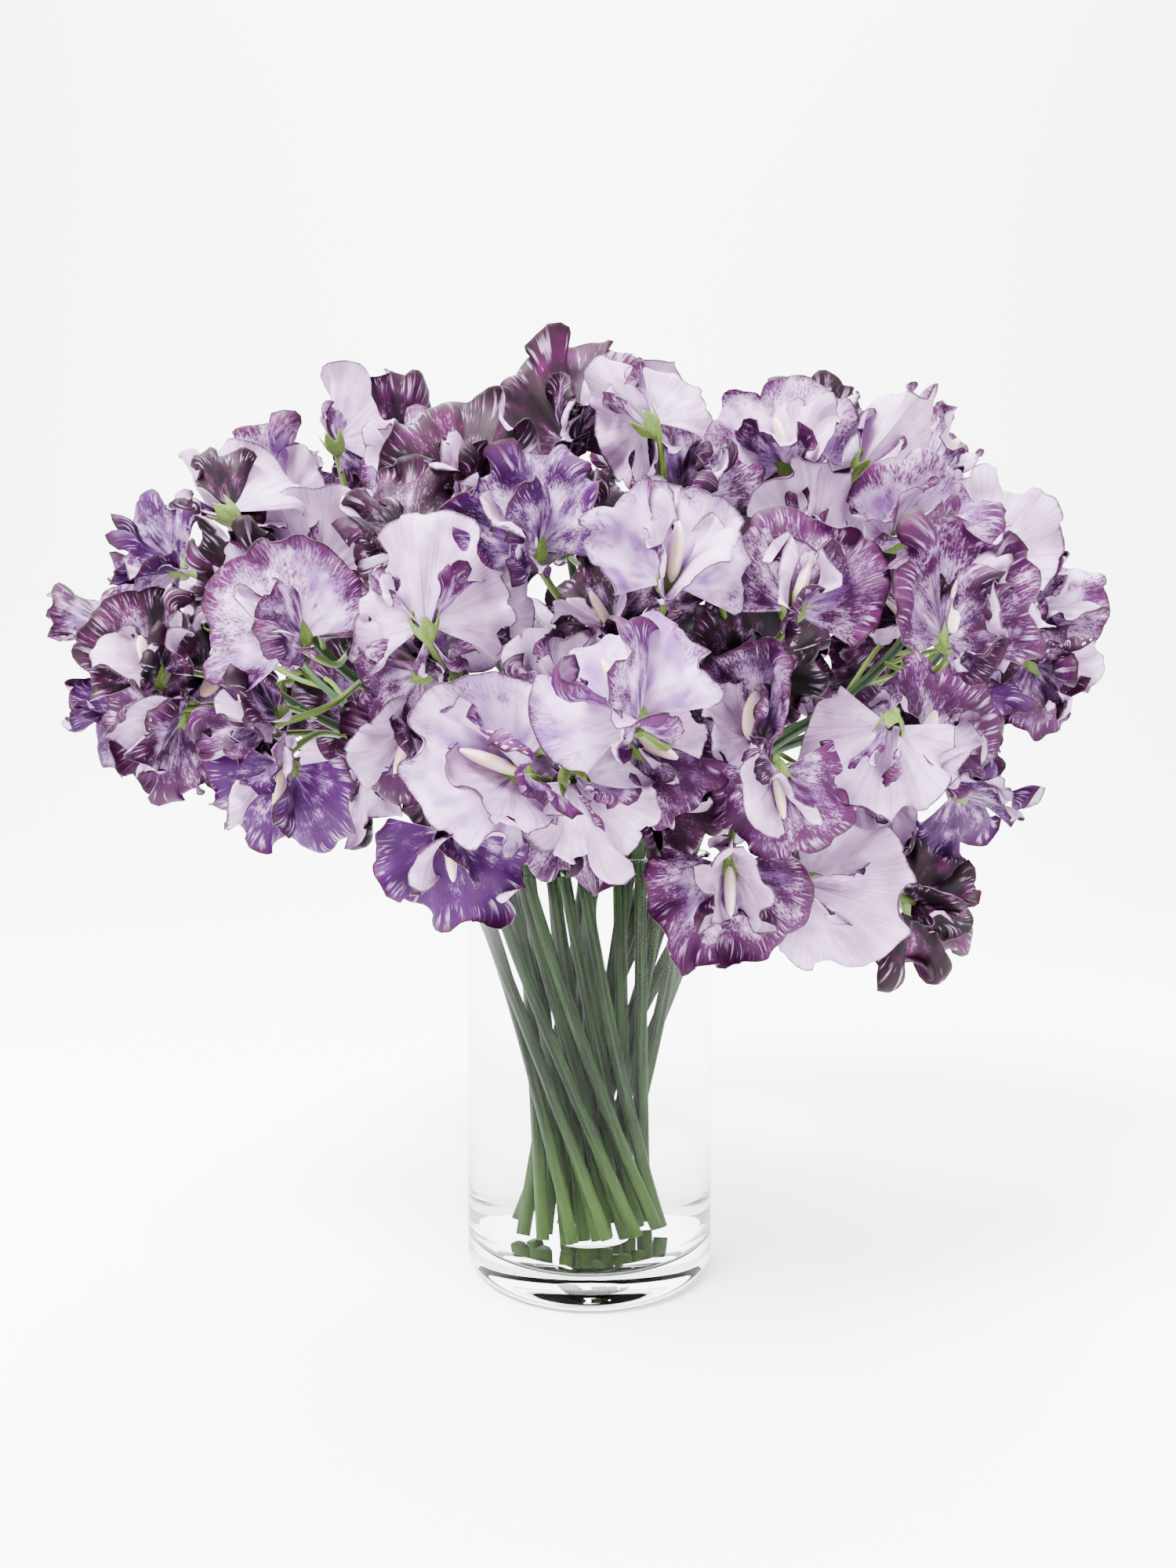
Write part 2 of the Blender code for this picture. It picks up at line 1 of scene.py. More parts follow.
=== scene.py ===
import math
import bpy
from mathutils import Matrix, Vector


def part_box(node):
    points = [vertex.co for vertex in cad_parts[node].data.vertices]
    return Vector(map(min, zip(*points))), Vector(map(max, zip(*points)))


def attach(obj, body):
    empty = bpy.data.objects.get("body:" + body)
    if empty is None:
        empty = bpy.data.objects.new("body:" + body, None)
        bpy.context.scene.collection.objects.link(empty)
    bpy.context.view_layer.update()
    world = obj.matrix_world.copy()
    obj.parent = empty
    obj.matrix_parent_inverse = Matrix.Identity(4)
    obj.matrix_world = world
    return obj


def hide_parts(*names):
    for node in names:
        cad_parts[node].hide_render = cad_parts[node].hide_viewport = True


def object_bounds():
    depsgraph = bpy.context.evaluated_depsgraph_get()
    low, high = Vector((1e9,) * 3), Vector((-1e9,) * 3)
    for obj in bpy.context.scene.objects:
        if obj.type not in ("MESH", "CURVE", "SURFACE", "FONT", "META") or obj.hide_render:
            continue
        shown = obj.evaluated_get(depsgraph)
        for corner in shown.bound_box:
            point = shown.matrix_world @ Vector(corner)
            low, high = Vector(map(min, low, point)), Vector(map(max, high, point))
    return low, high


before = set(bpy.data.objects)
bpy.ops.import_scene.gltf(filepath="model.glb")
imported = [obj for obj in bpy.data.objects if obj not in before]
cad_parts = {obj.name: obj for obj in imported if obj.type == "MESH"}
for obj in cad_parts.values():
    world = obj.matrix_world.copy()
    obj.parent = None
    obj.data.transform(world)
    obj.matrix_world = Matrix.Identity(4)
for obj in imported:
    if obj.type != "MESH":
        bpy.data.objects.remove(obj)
from types import SimpleNamespace

import bmesh
import bpy
import numpy as np
from mathutils import Matrix, Vector

CAD_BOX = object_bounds()

# -------------------- the bunch's plan
# The sizes and the settled places are the CAD part's own, worked out by the same steps.

FOOT, RIM = (Vector(corner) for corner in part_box("glass_vase"))
WATER_FLOOR, WATER_TOP = (Vector(corner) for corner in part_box("water"))
VASE_RADIUS = (RIM.x - FOOT.x) / 2
VASE_HEIGHT = RIM.z
GAP = 0.0003  # between two pieces that touch
WALL = VASE_RADIUS - WATER_TOP.x - GAP
FLOOR = WATER_FLOOR.z - GAP
WATER_LEVEL = WATER_TOP.z

STALK_RADIUS = 0.0019
FOOT_SCALE = 0.50  # the bundle's spread at the feet, beside its spread at the rim
TWIST = math.radians(110)  # turn of the bundle from the rim down to the feet
RINGS = ((1, 0.0), (6, 0.0129), (9, 0.0258), (12, 0.0383))  # stalks and radius at the rim
FOOT_CLEAR = 0.00095  # a slanting stalk's lowest edge is this much below its foot's middle
FOOT_RISE = 0.0007  # each foot stands this much higher than the one before, in turn
FOOT_STEPS = 7
FREE_POINTS = 9  # points of a stalk above the rim
BEND_START = 0.45  # pulls at a free stalk's two ends, beside its length
BEND_END = 0.50
LOW_FORK = 0.09  # a fork less than this above the rim is reached from the side
SIDEWAYS = 0.6  # sideways and upward parts of a high stalk's end
UPWARDS = 1.1
DROOP = 1.3  # how much of the upward part a fork at rim height loses
RACHIS_FROM = 0.72  # part of the free stalk where its first blossom springs
SPRING_SPAN = 0.8  # part of the rachis that its pedicels spring from
SPRING_TIP = 0.02  # bare tip above the last pedicel, beside the free stalk
CALYX_LENGTH = 0.005
CALYX_LEAN = 0.5  # how far the calyx tips back from its blossom's face
SHELL_HEIGHT = 0.62  # height of a plain CAD standard, beside its width

BLOSSOM_ROOM = 0.45  # beside the petal's width
STALK_ROOM = 0.0027
PEDICEL_ROOM = 0.0025
OVERHANG = 0.006  # points further out than this from the wall hang beside the vase
HANG_GAP = 0.0012  # and stay this far off it
STALK_YIELD = 0.65  # how readily stalks and flowers give way to each other
FLOWER_YIELD = 0.35
EASE = 0.5  # part of an overlap that one round undoes
SEAT_DRAG = 0.7  # part of a pedicel's push that its blossom follows
LIMPNESS = 0.3  # part of each neighbour's shift that a stalk's point takes on
HOMING = 0.01  # part of its shift that each point loses in a round
SETTLE_ROUNDS = 260

# The front sprays. First the fork, where a stalk's flowering end stops, in mm. Then its
# blossoms: the middle of the standard petal in mm; the way the blossom faces, as a turn to the
# right from the front and a lift, in degrees; the way its standard points, clockwise from
# straight up as seen from the front; its width in mm; and two letters, its tone and its form,
# which TONES and FORMS spell out below.
FRONT_SPRAYS = (
    ((-98, -2, 272), (
        (-113, -20, 288, 20, 0, -45, 42, "Pf"), (-97, -10, 304, 150, 0, -4, 42, "Pt"),
        (-89, -45, 250, 180, 10, 0, 40, "Po"))),
    ((-112, -18, 246), (
        (-127, -35, 266, 150, 0, -50, 44, "Dt"), (-148, -30, 250, -25, 0, -75, 42, "Vo"),
        (-116, -50, 233, -10, 10, -100, 34, "Df"))),
    ((-122, -4, 214), (
        (-168, -15, 237, -50, 0, -60, 42, "Fr"), (-173, -12, 209, -35, -5, -85, 42, "Vo"),
        (-138, -42, 221, -10, 0, -15, 36, "Df"), (-138, -35, 196, -15, -10, -130, 42, "Fo"))),
    ((-84, -32, 222), (
        (-91, -63, 224, 0, 0, -30, 44, "Po"), (-106, -52, 205, -30, 0, -60, 40, "Ff"),
        (-72, -50, 240, 10, 0, 20, 32, "Dr"))),
    ((-86, -26, 192), (
        (-92, -50, 173, -5, -15, 190, 44, "Vo"), (-69, -58, 188, 5, -10, -160, 42, "Fr"),
        (-118, -32, 184, -40, 0, -120, 38, "Df"))),
    ((-57, -18, 268), (
        (-62, -58, 256, -20, 0, -30, 44, "Dr"), (-66, -20, 294, -10, 0, -20, 42, "Pr"),
        (-40, -44, 278, 0, 0, 0, 42, "Do"))),
    ((-44, -42, 214), (
        (-42, -82, 234, 175, 0, -6, 48, "Pf"), (-22, -70, 230, 170, 0, 60, 42, "Pt"),
        (-64, -68, 218, -10, 20, -60, 40, "Fr"))),
    ((-10, -22, 270), (
        (-5, -25, 306, 0, 10, 0, 46, "Do"), (-11, -60, 268, 0, 10, -10, 44, "Dr"),
        (-23, -70, 249, 0, 0, -10, 44, "Vh"))),
    ((22, -16, 274), (
        (22, -2, 316, 180, 0, 5, 44, "Pt"), (14, -58, 284, 160, 0, -40, 44, "Pt"),
        (36, -42, 276, 20, 0, 20, 44, "Fo"))),
    ((12, -42, 226), (
        (22, -86, 238, 10, 0, 5, 48, "Co"), (-2, -66, 236, -20, 0, -30, 38, "Dr"),
        (-19, -76, 207, 150, 0, -50, 42, "Pf"))),
    ((26, -46, 200), (
        (5, -98, 200, -8, 5, -28, 50, "Co"), (20, -78, 214, 0, 0, 30, 36, "Dr"),
        (46, -76, 200, -50, 0, 20, 42, "Ff"), (32, -88, 182, 0, 20, 120, 38, "Fr"))),
    ((-18, -52, 179), (
        (-31, -98, 183, 10, 0, -70, 50, "Co"), (-35, -88, 156, 0, -10, 175, 40, "Vo"),
        (4, -92, 172, 170, 0, 150, 38, "Pf"))),
    ((2, -50, 183), (
        (-2, -84, 163, -10, 0, 190, 38, "Fo"), (-12, -72, 184, 160, 0, -120, 32, "Dr"),
        (19, -72, 166, 30, 0, 150, 34, "Df"))),
    ((70, 0, 276), (
        (66, -26, 296, 0, 0, -20, 44, "Po"), (88, -4, 311, 30, 0, 20, 44, "Fr"),
        (49, -36, 272, -20, 0, -10, 42, "Vf"))),
    ((96, -4, 268), (
        (98, -26, 294, 170, 0, 40, 46, "Pt"), (134, 0, 302, 20, 0, 45, 38, "Pr"),
        (108, -46, 266, -10, 0, 60, 46, "Po"))),
    ((120, -18, 240), (
        (142, -25, 262, 180, 0, 15, 44, "Po"), (98, -74, 226, 15, 0, 0, 50, "Fh"),
        (135, -30, 202, 30, 0, 100, 42, "Vo"))),
    ((138, 6, 230), (
        (172, 0, 250, 10, 0, 45, 44, "Po"), (138, -36, 230, 180, 0, -45, 36, "Pf"),
        (170, -12, 212, 15, 0, 120, 44, "Fr"))),
    ((60, -34, 230), (
        (62, -68, 238, 0, 0, 15, 44, "Fo"), (68, -46, 260, 180, 0, 0, 42, "Po"),
        (44, -60, 246, -10, 0, -10, 34, "Dr"), (56, -60, 218, 10, 0, 30, 38, "Do"))),
    ((98, -32, 180), (
        (93, -66, 188, 10, 0, 20, 46, "Fo"), (128, -40, 178, 30, 0, 110, 42, "Vr"),
        (78, -74, 174, 175, 0, -160, 42, "Po"), (98, -56, 163, 180, 0, 160, 42, "Pf"))),
    ((52, -52, 165), (
        (76, -72, 155, 170, 0, 100, 44, "Po"), (52, -80, 143, 0, 0, 180, 42, "Fo"),
        (102, -58, 142, 20, 0, 110, 38, "Dr"), (50, -86, 174, -10, 0, 170, 38, "Fr"))),
)

# The back sprays: fork in mm. Their blossoms stand round the fork, turned outwards.
BACK_FORKS = ((-118, 30, 226), (-68, 36, 276), (-66, 44, 198), (0, 30, 284),
              (2, 48, 226), (70, 34, 276), (64, 46, 196), (124, 32, 230))
BACK_BLOSSOMS = 5
BACK_RING = 0.030  # radius of the ring of blossoms round a back fork
BACK_REACH = 0.034  # how far that ring stands out from the fork
BACK_TURN = math.radians(25)
HEART = Vector((0.0, 0.0, 0.200))  # the middle of the bunch, which the back blossoms face from
HIDDEN_WIDTH = 0.043
BACKWARDS = 0.8  # how much further back than outwards the rings face
RING_SHIFT = 0.7  # turn of each ring beside the one before, in radians
TURNED_AWAY = 1.6  # how far every second blossom of a ring turns to the bunch
# Near-black painted shade: the blossoms turned into the bunch take the broad near-black look,
# which darkens the bunch's inside.
PAINTED_SHADE_LOOK = "Bo"
BACK_LOOKS = ("Fo", "Dr", "Pf", "Vr", "Dr", "Pt", "Fr")


def blossom_frame(turn, lift, clock):
    """Axes of a blossom: its face and its standard's upward way."""
    turn, lift, clock = (math.radians(a) for a in (turn, lift, clock))
    face = Vector((math.sin(turn) * math.cos(lift), -math.cos(turn) * math.cos(lift),
                   math.sin(lift)))
    up = Vector((math.sin(clock), 0.0, math.cos(clock)))
    return face, (up - face * up.dot(face)).normalized()


def front_sprays():
    """(fork, blossoms) of each front spray; a blossom is (centre, face, up, width, look)."""
    sprays = []
    for fork, rows in FRONT_SPRAYS:
        blossoms = []
        for x, y, z, turn, lift, clock, width, look in rows:
            face, up = blossom_frame(turn, lift, clock)
            blossoms.append((Vector((x, y, z)) / 1000, face, up, width / 1000, look))
        sprays.append((Vector(fork) / 1000, blossoms))
    return sprays


def back_sprays():
    """The same for the back sprays, whose blossoms stand in a ring round the fork."""
    sprays = []
    for number, fork in enumerate(BACK_FORKS):
        fork = Vector(fork) / 1000
        out = (fork - HEART).normalized()
        out = (out + Vector((0, BACKWARDS, 0))).normalized()
        side = out.cross(Vector((0, 0, 1))).normalized()
        rise = side.cross(out)
        blossoms = []
        for k in range(BACK_BLOSSOMS):
            angle = math.tau * k / BACK_BLOSSOMS + RING_SHIFT * number
            spoke = side * math.cos(angle) + rise * math.sin(angle)
            centre = fork + out * BACK_REACH + spoke * BACK_RING
            face = (out * math.cos(BACK_TURN * k) + side * math.sin(BACK_TURN * k)).normalized()
            look = BACK_LOOKS[(3 * number + k) % len(BACK_LOOKS)]
            if k % 2:
                face = (face - TURNED_AWAY * out).normalized()
                look = PAINTED_SHADE_LOOK
            up = (spoke - face * spoke.dot(face)).normalized()
            blossoms.append((centre, face, up, HIDDEN_WIDTH, look))
        sprays.append((fork, blossoms))
    return sprays


def claw_of(centre, up, width):
    """The foot of a blossom's standard petal."""
    return centre - up * width * SHELL_HEIGHT / 2


def calyx_way(face, up):
    """The way that a calyx opens."""
    return (up - face * CALYX_LEAN).normalized()


def calyx_seat(centre, face, up, width):
    """Where the pedicel meets the calyx, behind and below the standard's claw."""
    return claw_of(centre, up, width) - calyx_way(face, up) * CALYX_LENGTH


def spring_share(k, count):
    """The part of the free stalk at which the k-th of a spray's pedicels springs."""
    return 1 - (1 - RACHIS_FROM) * SPRING_SPAN * k / count - SPRING_TIP


def rim_points(sprays):
    """Where each spray's stalk crosses the rim's plane: low sprays outside, high ones inside."""
    climb = [math.atan2(fork.z - VASE_HEIGHT, math.hypot(fork.x, fork.y)) for fork, _ in sprays]
    order = sorted(range(len(sprays)), key=lambda i: -climb[i])
    places = {}
    for count, radius in RINGS:
        ring, order = order[:count], order[count:]
        bearing = {i: math.atan2(sprays[i][0].y, sprays[i][0].x) for i in ring}
        ring.sort(key=lambda i: bearing[i])
        slots = [math.tau * k / count for k in range(count)]
        drift = [bearing[i] - slot for i, slot in zip(ring, slots)]
        turn = math.atan2(sum(math.sin(d) for d in drift), sum(math.cos(d) for d in drift))
        for i, slot in zip(ring, slots):
            places[i] = Vector((radius * math.cos(slot + turn), radius * math.sin(slot + turn),
                                VASE_HEIGHT))
    return [places[i] for i in range(len(sprays))]


def foot_point(rim, number):
    """The cut end of the stalk that crosses the rim's plane at rim."""
    foot = Matrix.Rotation(TWIST, 3, "Z") @ Vector((rim.x, rim.y, 0)) * FOOT_SCALE
    foot.z = FLOOR + GAP + FOOT_CLEAR + FOOT_RISE * (number * 3 % FOOT_STEPS)
    return foot


def free_stalk(foot, rim, fork):
    """Points of the stalk from the rim's plane to its fork, a smooth bend."""
    reach = (fork - rim).length
    start = (rim - foot).normalized() * reach * BEND_START
    flat = Vector((fork.x, fork.y, 0)).normalized()
    low = max(0.0, 1 - (fork.z - VASE_HEIGHT) / LOW_FORK)
    finish = flat * (SIDEWAYS + low) + Vector((0, 0, UPWARDS - DROOP * low))
    finish = finish.normalized() * reach * BEND_END
    points = []
    for k in range(FREE_POINTS):
        t = (k + 1) / FREE_POINTS
        a, b, c, d = (1 - t) ** 3, 3 * t * (1 - t) ** 2, 3 * t * t * (1 - t), t ** 3
        points.append(a * rim + b * (rim + start) + c * (fork - finish) + d * fork)
    return points


def settle(stalks, sprays):
    """Push stalks, pedicels and blossoms apart until each has its room.

    Returns the stalks' points and the blossoms' centres. A spot is a stalk's point (kind 0), a
    blossom's centre (1), or the seat (2) or middle (3) of a pedicel, which follow their blossom.
    """
    spots, chains = [], []
    for number, (points, (_, blossoms)) in enumerate(zip(stalks, sprays)):
        first = len(spots)
        chains.append((first, first + len(points)))
        for k, point in enumerate(points):
            spots.append((point, STALK_ROOM, number, 0, first + k, first + k, (0, 0, 0)))
        for centre, face, up, width, _ in blossoms:
            host, root = len(spots), first + len(points) - 2
            seat = calyx_seat(centre, face, up, width) - centre
            spots.append((centre, width * BLOSSOM_ROOM, number, 1, host, root, (0, 0, 0)))
            for kind in (2, 3):
                spots.append((centre + seat, PEDICEL_ROOM, number, kind, host, root, seat))
    home, room, owner, kind, host, root, seats = (np.array(values) for values in zip(*spots))
    stalk_spots, flower_spots = kind == 0, kind > 0
    rank = np.zeros(len(home))
    for start, stop in chains:
        rank[start:stop] = np.arange(1, stop - start + 1) / (stop - start)
    same = owner[:, None] == owner[None, :]
    flower = kind == 1
    bare = stalk_spots & (rank < RACHIS_FROM)
    meets = ~same | (flower[:, None] & flower[None, :])
    meets |= (flower[:, None] & bare[None, :]) | (bare[:, None] & flower[None, :])
    np.fill_diagonal(meets, False)
    need = room[:, None] + room[None, :]
    weight = np.where(stalk_spots, STALK_YIELD, FLOWER_YIELD)
    share = weight[:, None] / (weight[:, None] + weight[None, :])
    place = home.copy()
    for _ in range(SETTLE_ROUNDS):
        middle = (place[root] + place[host] + seats) / 2
        place[flower_spots] = (place[host] + seats)[flower_spots]
        place[kind == 3] = middle[kind == 3]
        away = place[:, None, :] - place[None, :, :]
        gap = np.sqrt((away ** 2).sum(axis=2)) + 1e-9
        push = np.where(meets, np.clip(need - gap, 0, None), 0) * share / gap
        shove = (away * push[:, :, None]).sum(axis=1) * EASE
        np.add.at(shove, host[kind > 1], shove[kind > 1] * SEAT_DRAG)
        place += shove
        for start, stop in chains:
            shift = place[start:stop] - home[start:stop]
            padded = np.vstack([np.zeros((1, 3)), shift, shift[-1:]])
            around = padded[:-2] + padded[2:]
            place[start:stop] = home[start:stop] + (1 - 2 * LIMPNESS) * shift + LIMPNESS * around
        place += HOMING * (home - place)
        clear_of_vase(place, room)
    settled_stalks = [[Vector(p) for p in place[start:stop]] for start, stop in chains]
    centres = [[Vector(p) for p in place[(owner == number) & flower]]
               for number in range(len(sprays))]
    return settled_stalks, centres


def clear_of_vase(place, room):
    """Lift points over the vase's rim and push the ones that hang beside it off the wall."""
    radius = np.hypot(place[:, 0], place[:, 1])
    low = place[:, 2] < VASE_HEIGHT + room + GAP
    outside = low & (radius > VASE_RADIUS + OVERHANG)
    wanted = VASE_RADIUS + room + HANG_GAP
    push = np.where(outside & (radius < wanted), wanted / radius, 1.0)
    place[:, 0] *= push
    place[:, 1] *= push
    over = low & ~outside & (radius > VASE_RADIUS - WALL - room - GAP)
    place[:, 2] = np.where(over, VASE_HEIGHT + room + GAP, place[:, 2])


def plan():
    """Every stem of the settled bunch: foot, rim point, points above it, and its blossoms."""
    sprays = front_sprays() + back_sprays()
    rims = rim_points(sprays)
    feet = [foot_point(rim, number) for number, rim in enumerate(rims)]
    stalks = [free_stalk(foot, rim, fork) for foot, rim, (fork, _) in zip(feet, rims, sprays)]
    stalks, centres = settle(stalks, sprays)
    stems = []
    for foot, rim, stalk, middles, (_, blossoms) in zip(feet, rims, stalks, centres, sprays):
        settled = [(c, *blossom[1:]) for c, blossom in zip(middles, blossoms)]
        stems.append((foot, rim, stalk, settled))
    return stems


# -------------------- meshes

TIP_ROOM = 0.015  # how far a petal's tip may reach past the CAD box, in front or behind
NO_TONE = (0, 0, 0)
SPAN_STEPS = 5  # points of a smooth path for each point that it is drawn through
RIBS = 4  # round a stalk


def placed(name, data):
    """A new object in the scene."""
    obj = bpy.data.objects.new(name, data)
    bpy.context.scene.collection.objects.link(obj)
    return obj


def drawn_in(verts):
    """The same points, with the furthest tips in front and behind eased back into their room."""
    low, high = CAD_BOX[0][1], CAD_BOX[1][1]
    deep = verts[:, 1]
    before = low - TIP_ROOM * np.tanh((low - deep) / TIP_ROOM)
    behind = high + TIP_ROOM * np.tanh((deep - high) / TIP_ROOM)
    verts[:, 1] = np.where(deep < low, before, np.where(deep > high, behind, deep))
    return verts


class Piece:
    """Collects closed shells and tubes, with what their materials need, into one object."""

    def __init__(self):
        self.verts, self.faces, self.slots = [], [], []
        self.fan, self.tone, self.count = [], [], 0

    def add(self, verts, faces, slots, fan, tone):
        """fan holds a place on the petal or tube and a seed; tone is one for the whole shell."""
        self.verts.append(verts)
        self.faces.append(faces + self.count)
        self.slots.append(np.broadcast_to(slots, (len(faces),)))
        self.fan.append(fan)
        self.tone.append(np.broadcast_to(tone, (len(verts), 3)))
        self.count += len(verts)

    def make(self, name, materials, stands_for, finish_slot):
        """The object, riding on the body, in the place of the CAD nodes in stands_for."""
        verts, faces = drawn_in(np.vstack(self.verts)), np.vstack(self.faces)
        mesh = bpy.data.meshes.new(name)
        mesh.vertices.add(len(verts))
        mesh.vertices.foreach_set("co", verts.ravel())
        mesh.loops.add(faces.size)
        mesh.loops.foreach_set("vertex_index", faces.ravel())
        mesh.polygons.add(len(faces))
        mesh.polygons.foreach_set("loop_start", np.arange(0, faces.size, 4))
        mesh.polygons.foreach_set("material_index", np.concatenate(self.slots))
        mesh.update(calc_edges=True)
        for title, values in (("fan", self.fan), ("tone", self.tone)):
            layer = mesh.attributes.new(title, "FLOAT_VECTOR", "POINT")
            layer.data.foreach_set("vector", np.vstack(values).ravel())
        mesh.shade_smooth()
        for material in materials:
            mesh.materials.append(material)
        obj = placed(name, mesh)
        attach(obj, "root")
        if stands_for:
            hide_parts(*stands_for)


def grid_faces(rows, columns):
    """Quads of a sheet of vertices laid out row by row."""
    corner = (np.arange(rows - 1)[:, None] * columns + np.arange(columns - 1)[None, :]).ravel()
    return np.stack([corner, corner + 1, corner + columns + 1, corner + columns], axis=1)


def sheet_normals(sheet):
    """The way that a sheet faces at each of its points."""
    across = np.gradient(sheet, axis=1)
    along = np.gradient(sheet, axis=0)
    normal = np.cross(across, along)
    return normal / (np.linalg.norm(normal, axis=2, keepdims=True) + 1e-12)


def add_shell(piece, sheet, fan, tone, thickness, back=1):
    """A closed thin petal from one sheet of points: front skin, back skin and the edge.

    The front is in the first material, and the back and the edge are in the one numbered back.
    """
    rows, columns, _ = sheet.shape
    normal = sheet_normals(sheet) * thickness / 2
    skin = (sheet + normal).reshape(-1, 3), (sheet - normal).reshape(-1, 3)
    count = rows * columns
    faces = grid_faces(rows, columns)
    index = np.arange(count).reshape(rows, columns)
    loop = np.concatenate([index[0, :-1], index[:-1, -1], index[-1, :0:-1], index[:0:-1, 0]])
    after = np.roll(loop, -1)
    edge = np.stack([loop, loop + count, after + count, after], axis=1)
    every = np.vstack([faces, faces[:, ::-1] + count, edge])
    slots = np.concatenate([np.full(len(faces), 0), np.full(len(faces) + len(edge), back)])
    both = np.vstack([fan.reshape(-1, 3)] * 2)
    piece.add(np.vstack(skin), every, slots, both, tone)


def add_tube(piece, points, radii, sides, seed, ribs=0.0, flat=None):
    """A closed tube along a smooth path, ribbed where asked.

    flat is (a direction, the part of the tube's size that is left along it).
    """
    points = np.array(points)
    way = np.gradient(points, axis=0)
    way /= np.linalg.norm(way, axis=1, keepdims=True)
    side = np.cross(way[0], (0.31, 0.77, 0.55))
    rings = []
    angle = np.arange(sides) * math.tau / sides
    swell = 1 + ribs * np.cos(RIBS * angle)
    for k, point in enumerate(points):
        side = side - way[k] * side.dot(way[k])
        side /= np.linalg.norm(side)
        other = np.cross(way[k], side)
        spoke = np.cos(angle)[:, None] * side + np.sin(angle)[:, None] * other
        if flat:
            press = np.array(flat[0])
            spoke = spoke - (spoke @ press)[:, None] * press * (1 - flat[1])
        rings.append(point + spoke * (radii[k] * swell)[:, None])
    rings.insert(0, np.repeat(points[:1], sides, axis=0))
    rings.append(np.repeat(points[-1:], sides, axis=0))
    rings = np.array(rings)
    rows = len(rings)
    index = np.arange(rows * sides).reshape(rows, sides)
    after = np.roll(index, -1, axis=1)
    faces = np.stack([index[:-1], after[:-1], after[1:], index[1:]], axis=2).reshape(-1, 4)
    length = np.concatenate([[0], np.cumsum(np.linalg.norm(np.diff(points, axis=0), axis=1))])
    length = np.concatenate([[0], length, length[-1:]])
    fan = np.stack([np.broadcast_to(angle / math.tau, (rows, sides)),
                    np.broadcast_to(length[:, None], (rows, sides)),
                    np.full((rows, sides), seed)], axis=2)
    piece.add(rings.reshape(-1, 3), faces, 0, fan.reshape(-1, 3), NO_TONE)


def smooth_path(points):
    """Points along a Catmull-Rom curve through the given points."""
    p = np.array(points)
    p = np.vstack([2 * p[0] - p[1], p, 2 * p[-1] - p[-2]])
    path = []
    for k in range(1, len(p) - 2):
        for t in np.arange(SPAN_STEPS) / SPAN_STEPS:
            path.append(0.5 * (2 * p[k] + (p[k + 1] - p[k - 1]) * t
                               + (2 * p[k - 1] - 5 * p[k] + 4 * p[k + 1] - p[k + 2]) * t * t
                               + (3 * p[k] - p[k - 1] - 3 * p[k + 1] + p[k + 2]) * t ** 3))
    path.append(p[-2])
    return np.array(path)


# -------------------- petals

PETAL_THICKNESS = 0.00028
CALYX_THICKNESS = 0.0003
TONES = {  # flakes, darkness and violet of a blossom's front
    "C": (0.04, 0.00, 0.60),  # nearly clear
    "P": (0.34, 0.15, 0.35),  # pale
    "F": (0.62, 0.45, 0.35),  # flaked
    "D": (0.85, 1.00, 0.10),  # near black
    "V": (0.70, 0.30, 0.95),  # violet
    # B is near-black painted shade, given to the blossoms turned into the bunch.
    "B": (0.85, 1.20, 0.20),  # near black and broad
}
FORMS = {  # in degrees: fold of the halves, roll of the sides, roll of the top; then the ruffle
    "o": (18, -20, -40, 0.090),  # open
    "f": (38, 85, 25, 0.125),  # folded forward
    "r": (-18, -95, -80, 0.155),  # reflexed
    "t": (62, 25, 5, 0.070),  # tall and folded
    "h": (30, 60, 75, 0.125),  # hooded
}
STANDARD_HEIGHTS = {"C": 0.62, "P": 0.73, "F": 0.73, "D": 0.84, "V": 0.73, "B": 0.92}
STANDARD_OPENING = 112  # half of the fan's opening, in degrees
STANDARD_SHOULDER = 0.76  # reach of the fan's side edges, beside the middle's
STANDARD_NOTCH = 0.07  # the dip at the top, beside the height
STANDARD_ROWS, STANDARD_COLUMNS = 30, 110
WING_OPENING = 100
WING_SHOULDER = 0.58
WING_ROWS, WING_COLUMNS = 20, 60

# The ruffle's waves, broad to fine: how fast they run round the fan, their share of the
# ruffle's height, and how far out from the claw they start.
WAVES = (((6.5, 9), 1.0, 0.34), ((14, 18), 0.42, 0.62), ((31, 38), 0.13, 0.80))
WAVE_SLIP = 0.55  # how far strong waves bulge past their own width
DISH = 0.035  # slow bend of the whole fan out of its plane, beside its height
CREASE = 0.004  # fine creases that run out from the claw, beside its height
NOTCH_WIDTH = 0.13  # in radians of the fan
BEND_STEPS = 90

KEEL_LENGTH = 0.27  # beside the blossom's width
KEEL_FORWARD = 0.75  # forward and upward parts of the keel's way
KEEL_UPWARD = 0.60
KEEL_CURL = 0.75  # rise of its tip, beside its length
KEEL_TIP = 0.010  # its radii at the ends and added in the middle, beside the width
KEEL_SWELL = 0.085
KEEL_PRESSED = 0.42  # its thickness, beside its height

CALYX_TEETH = 5
CALYX_ROOT = 0.0012  # its radius at the pedicel, and how much it swells and flares
CALYX_SWELL = 0.0026
CALYX_FLARE = 0.0016
CALYX_ROWS, CALYX_COLUMNS = 9, 41


def set_out(local, right, face, up, origin):
    """Points given sideways, forward and upward, set in a petal's own axes."""
    return local @ np.array((right, face, up)) + np.array(origin)


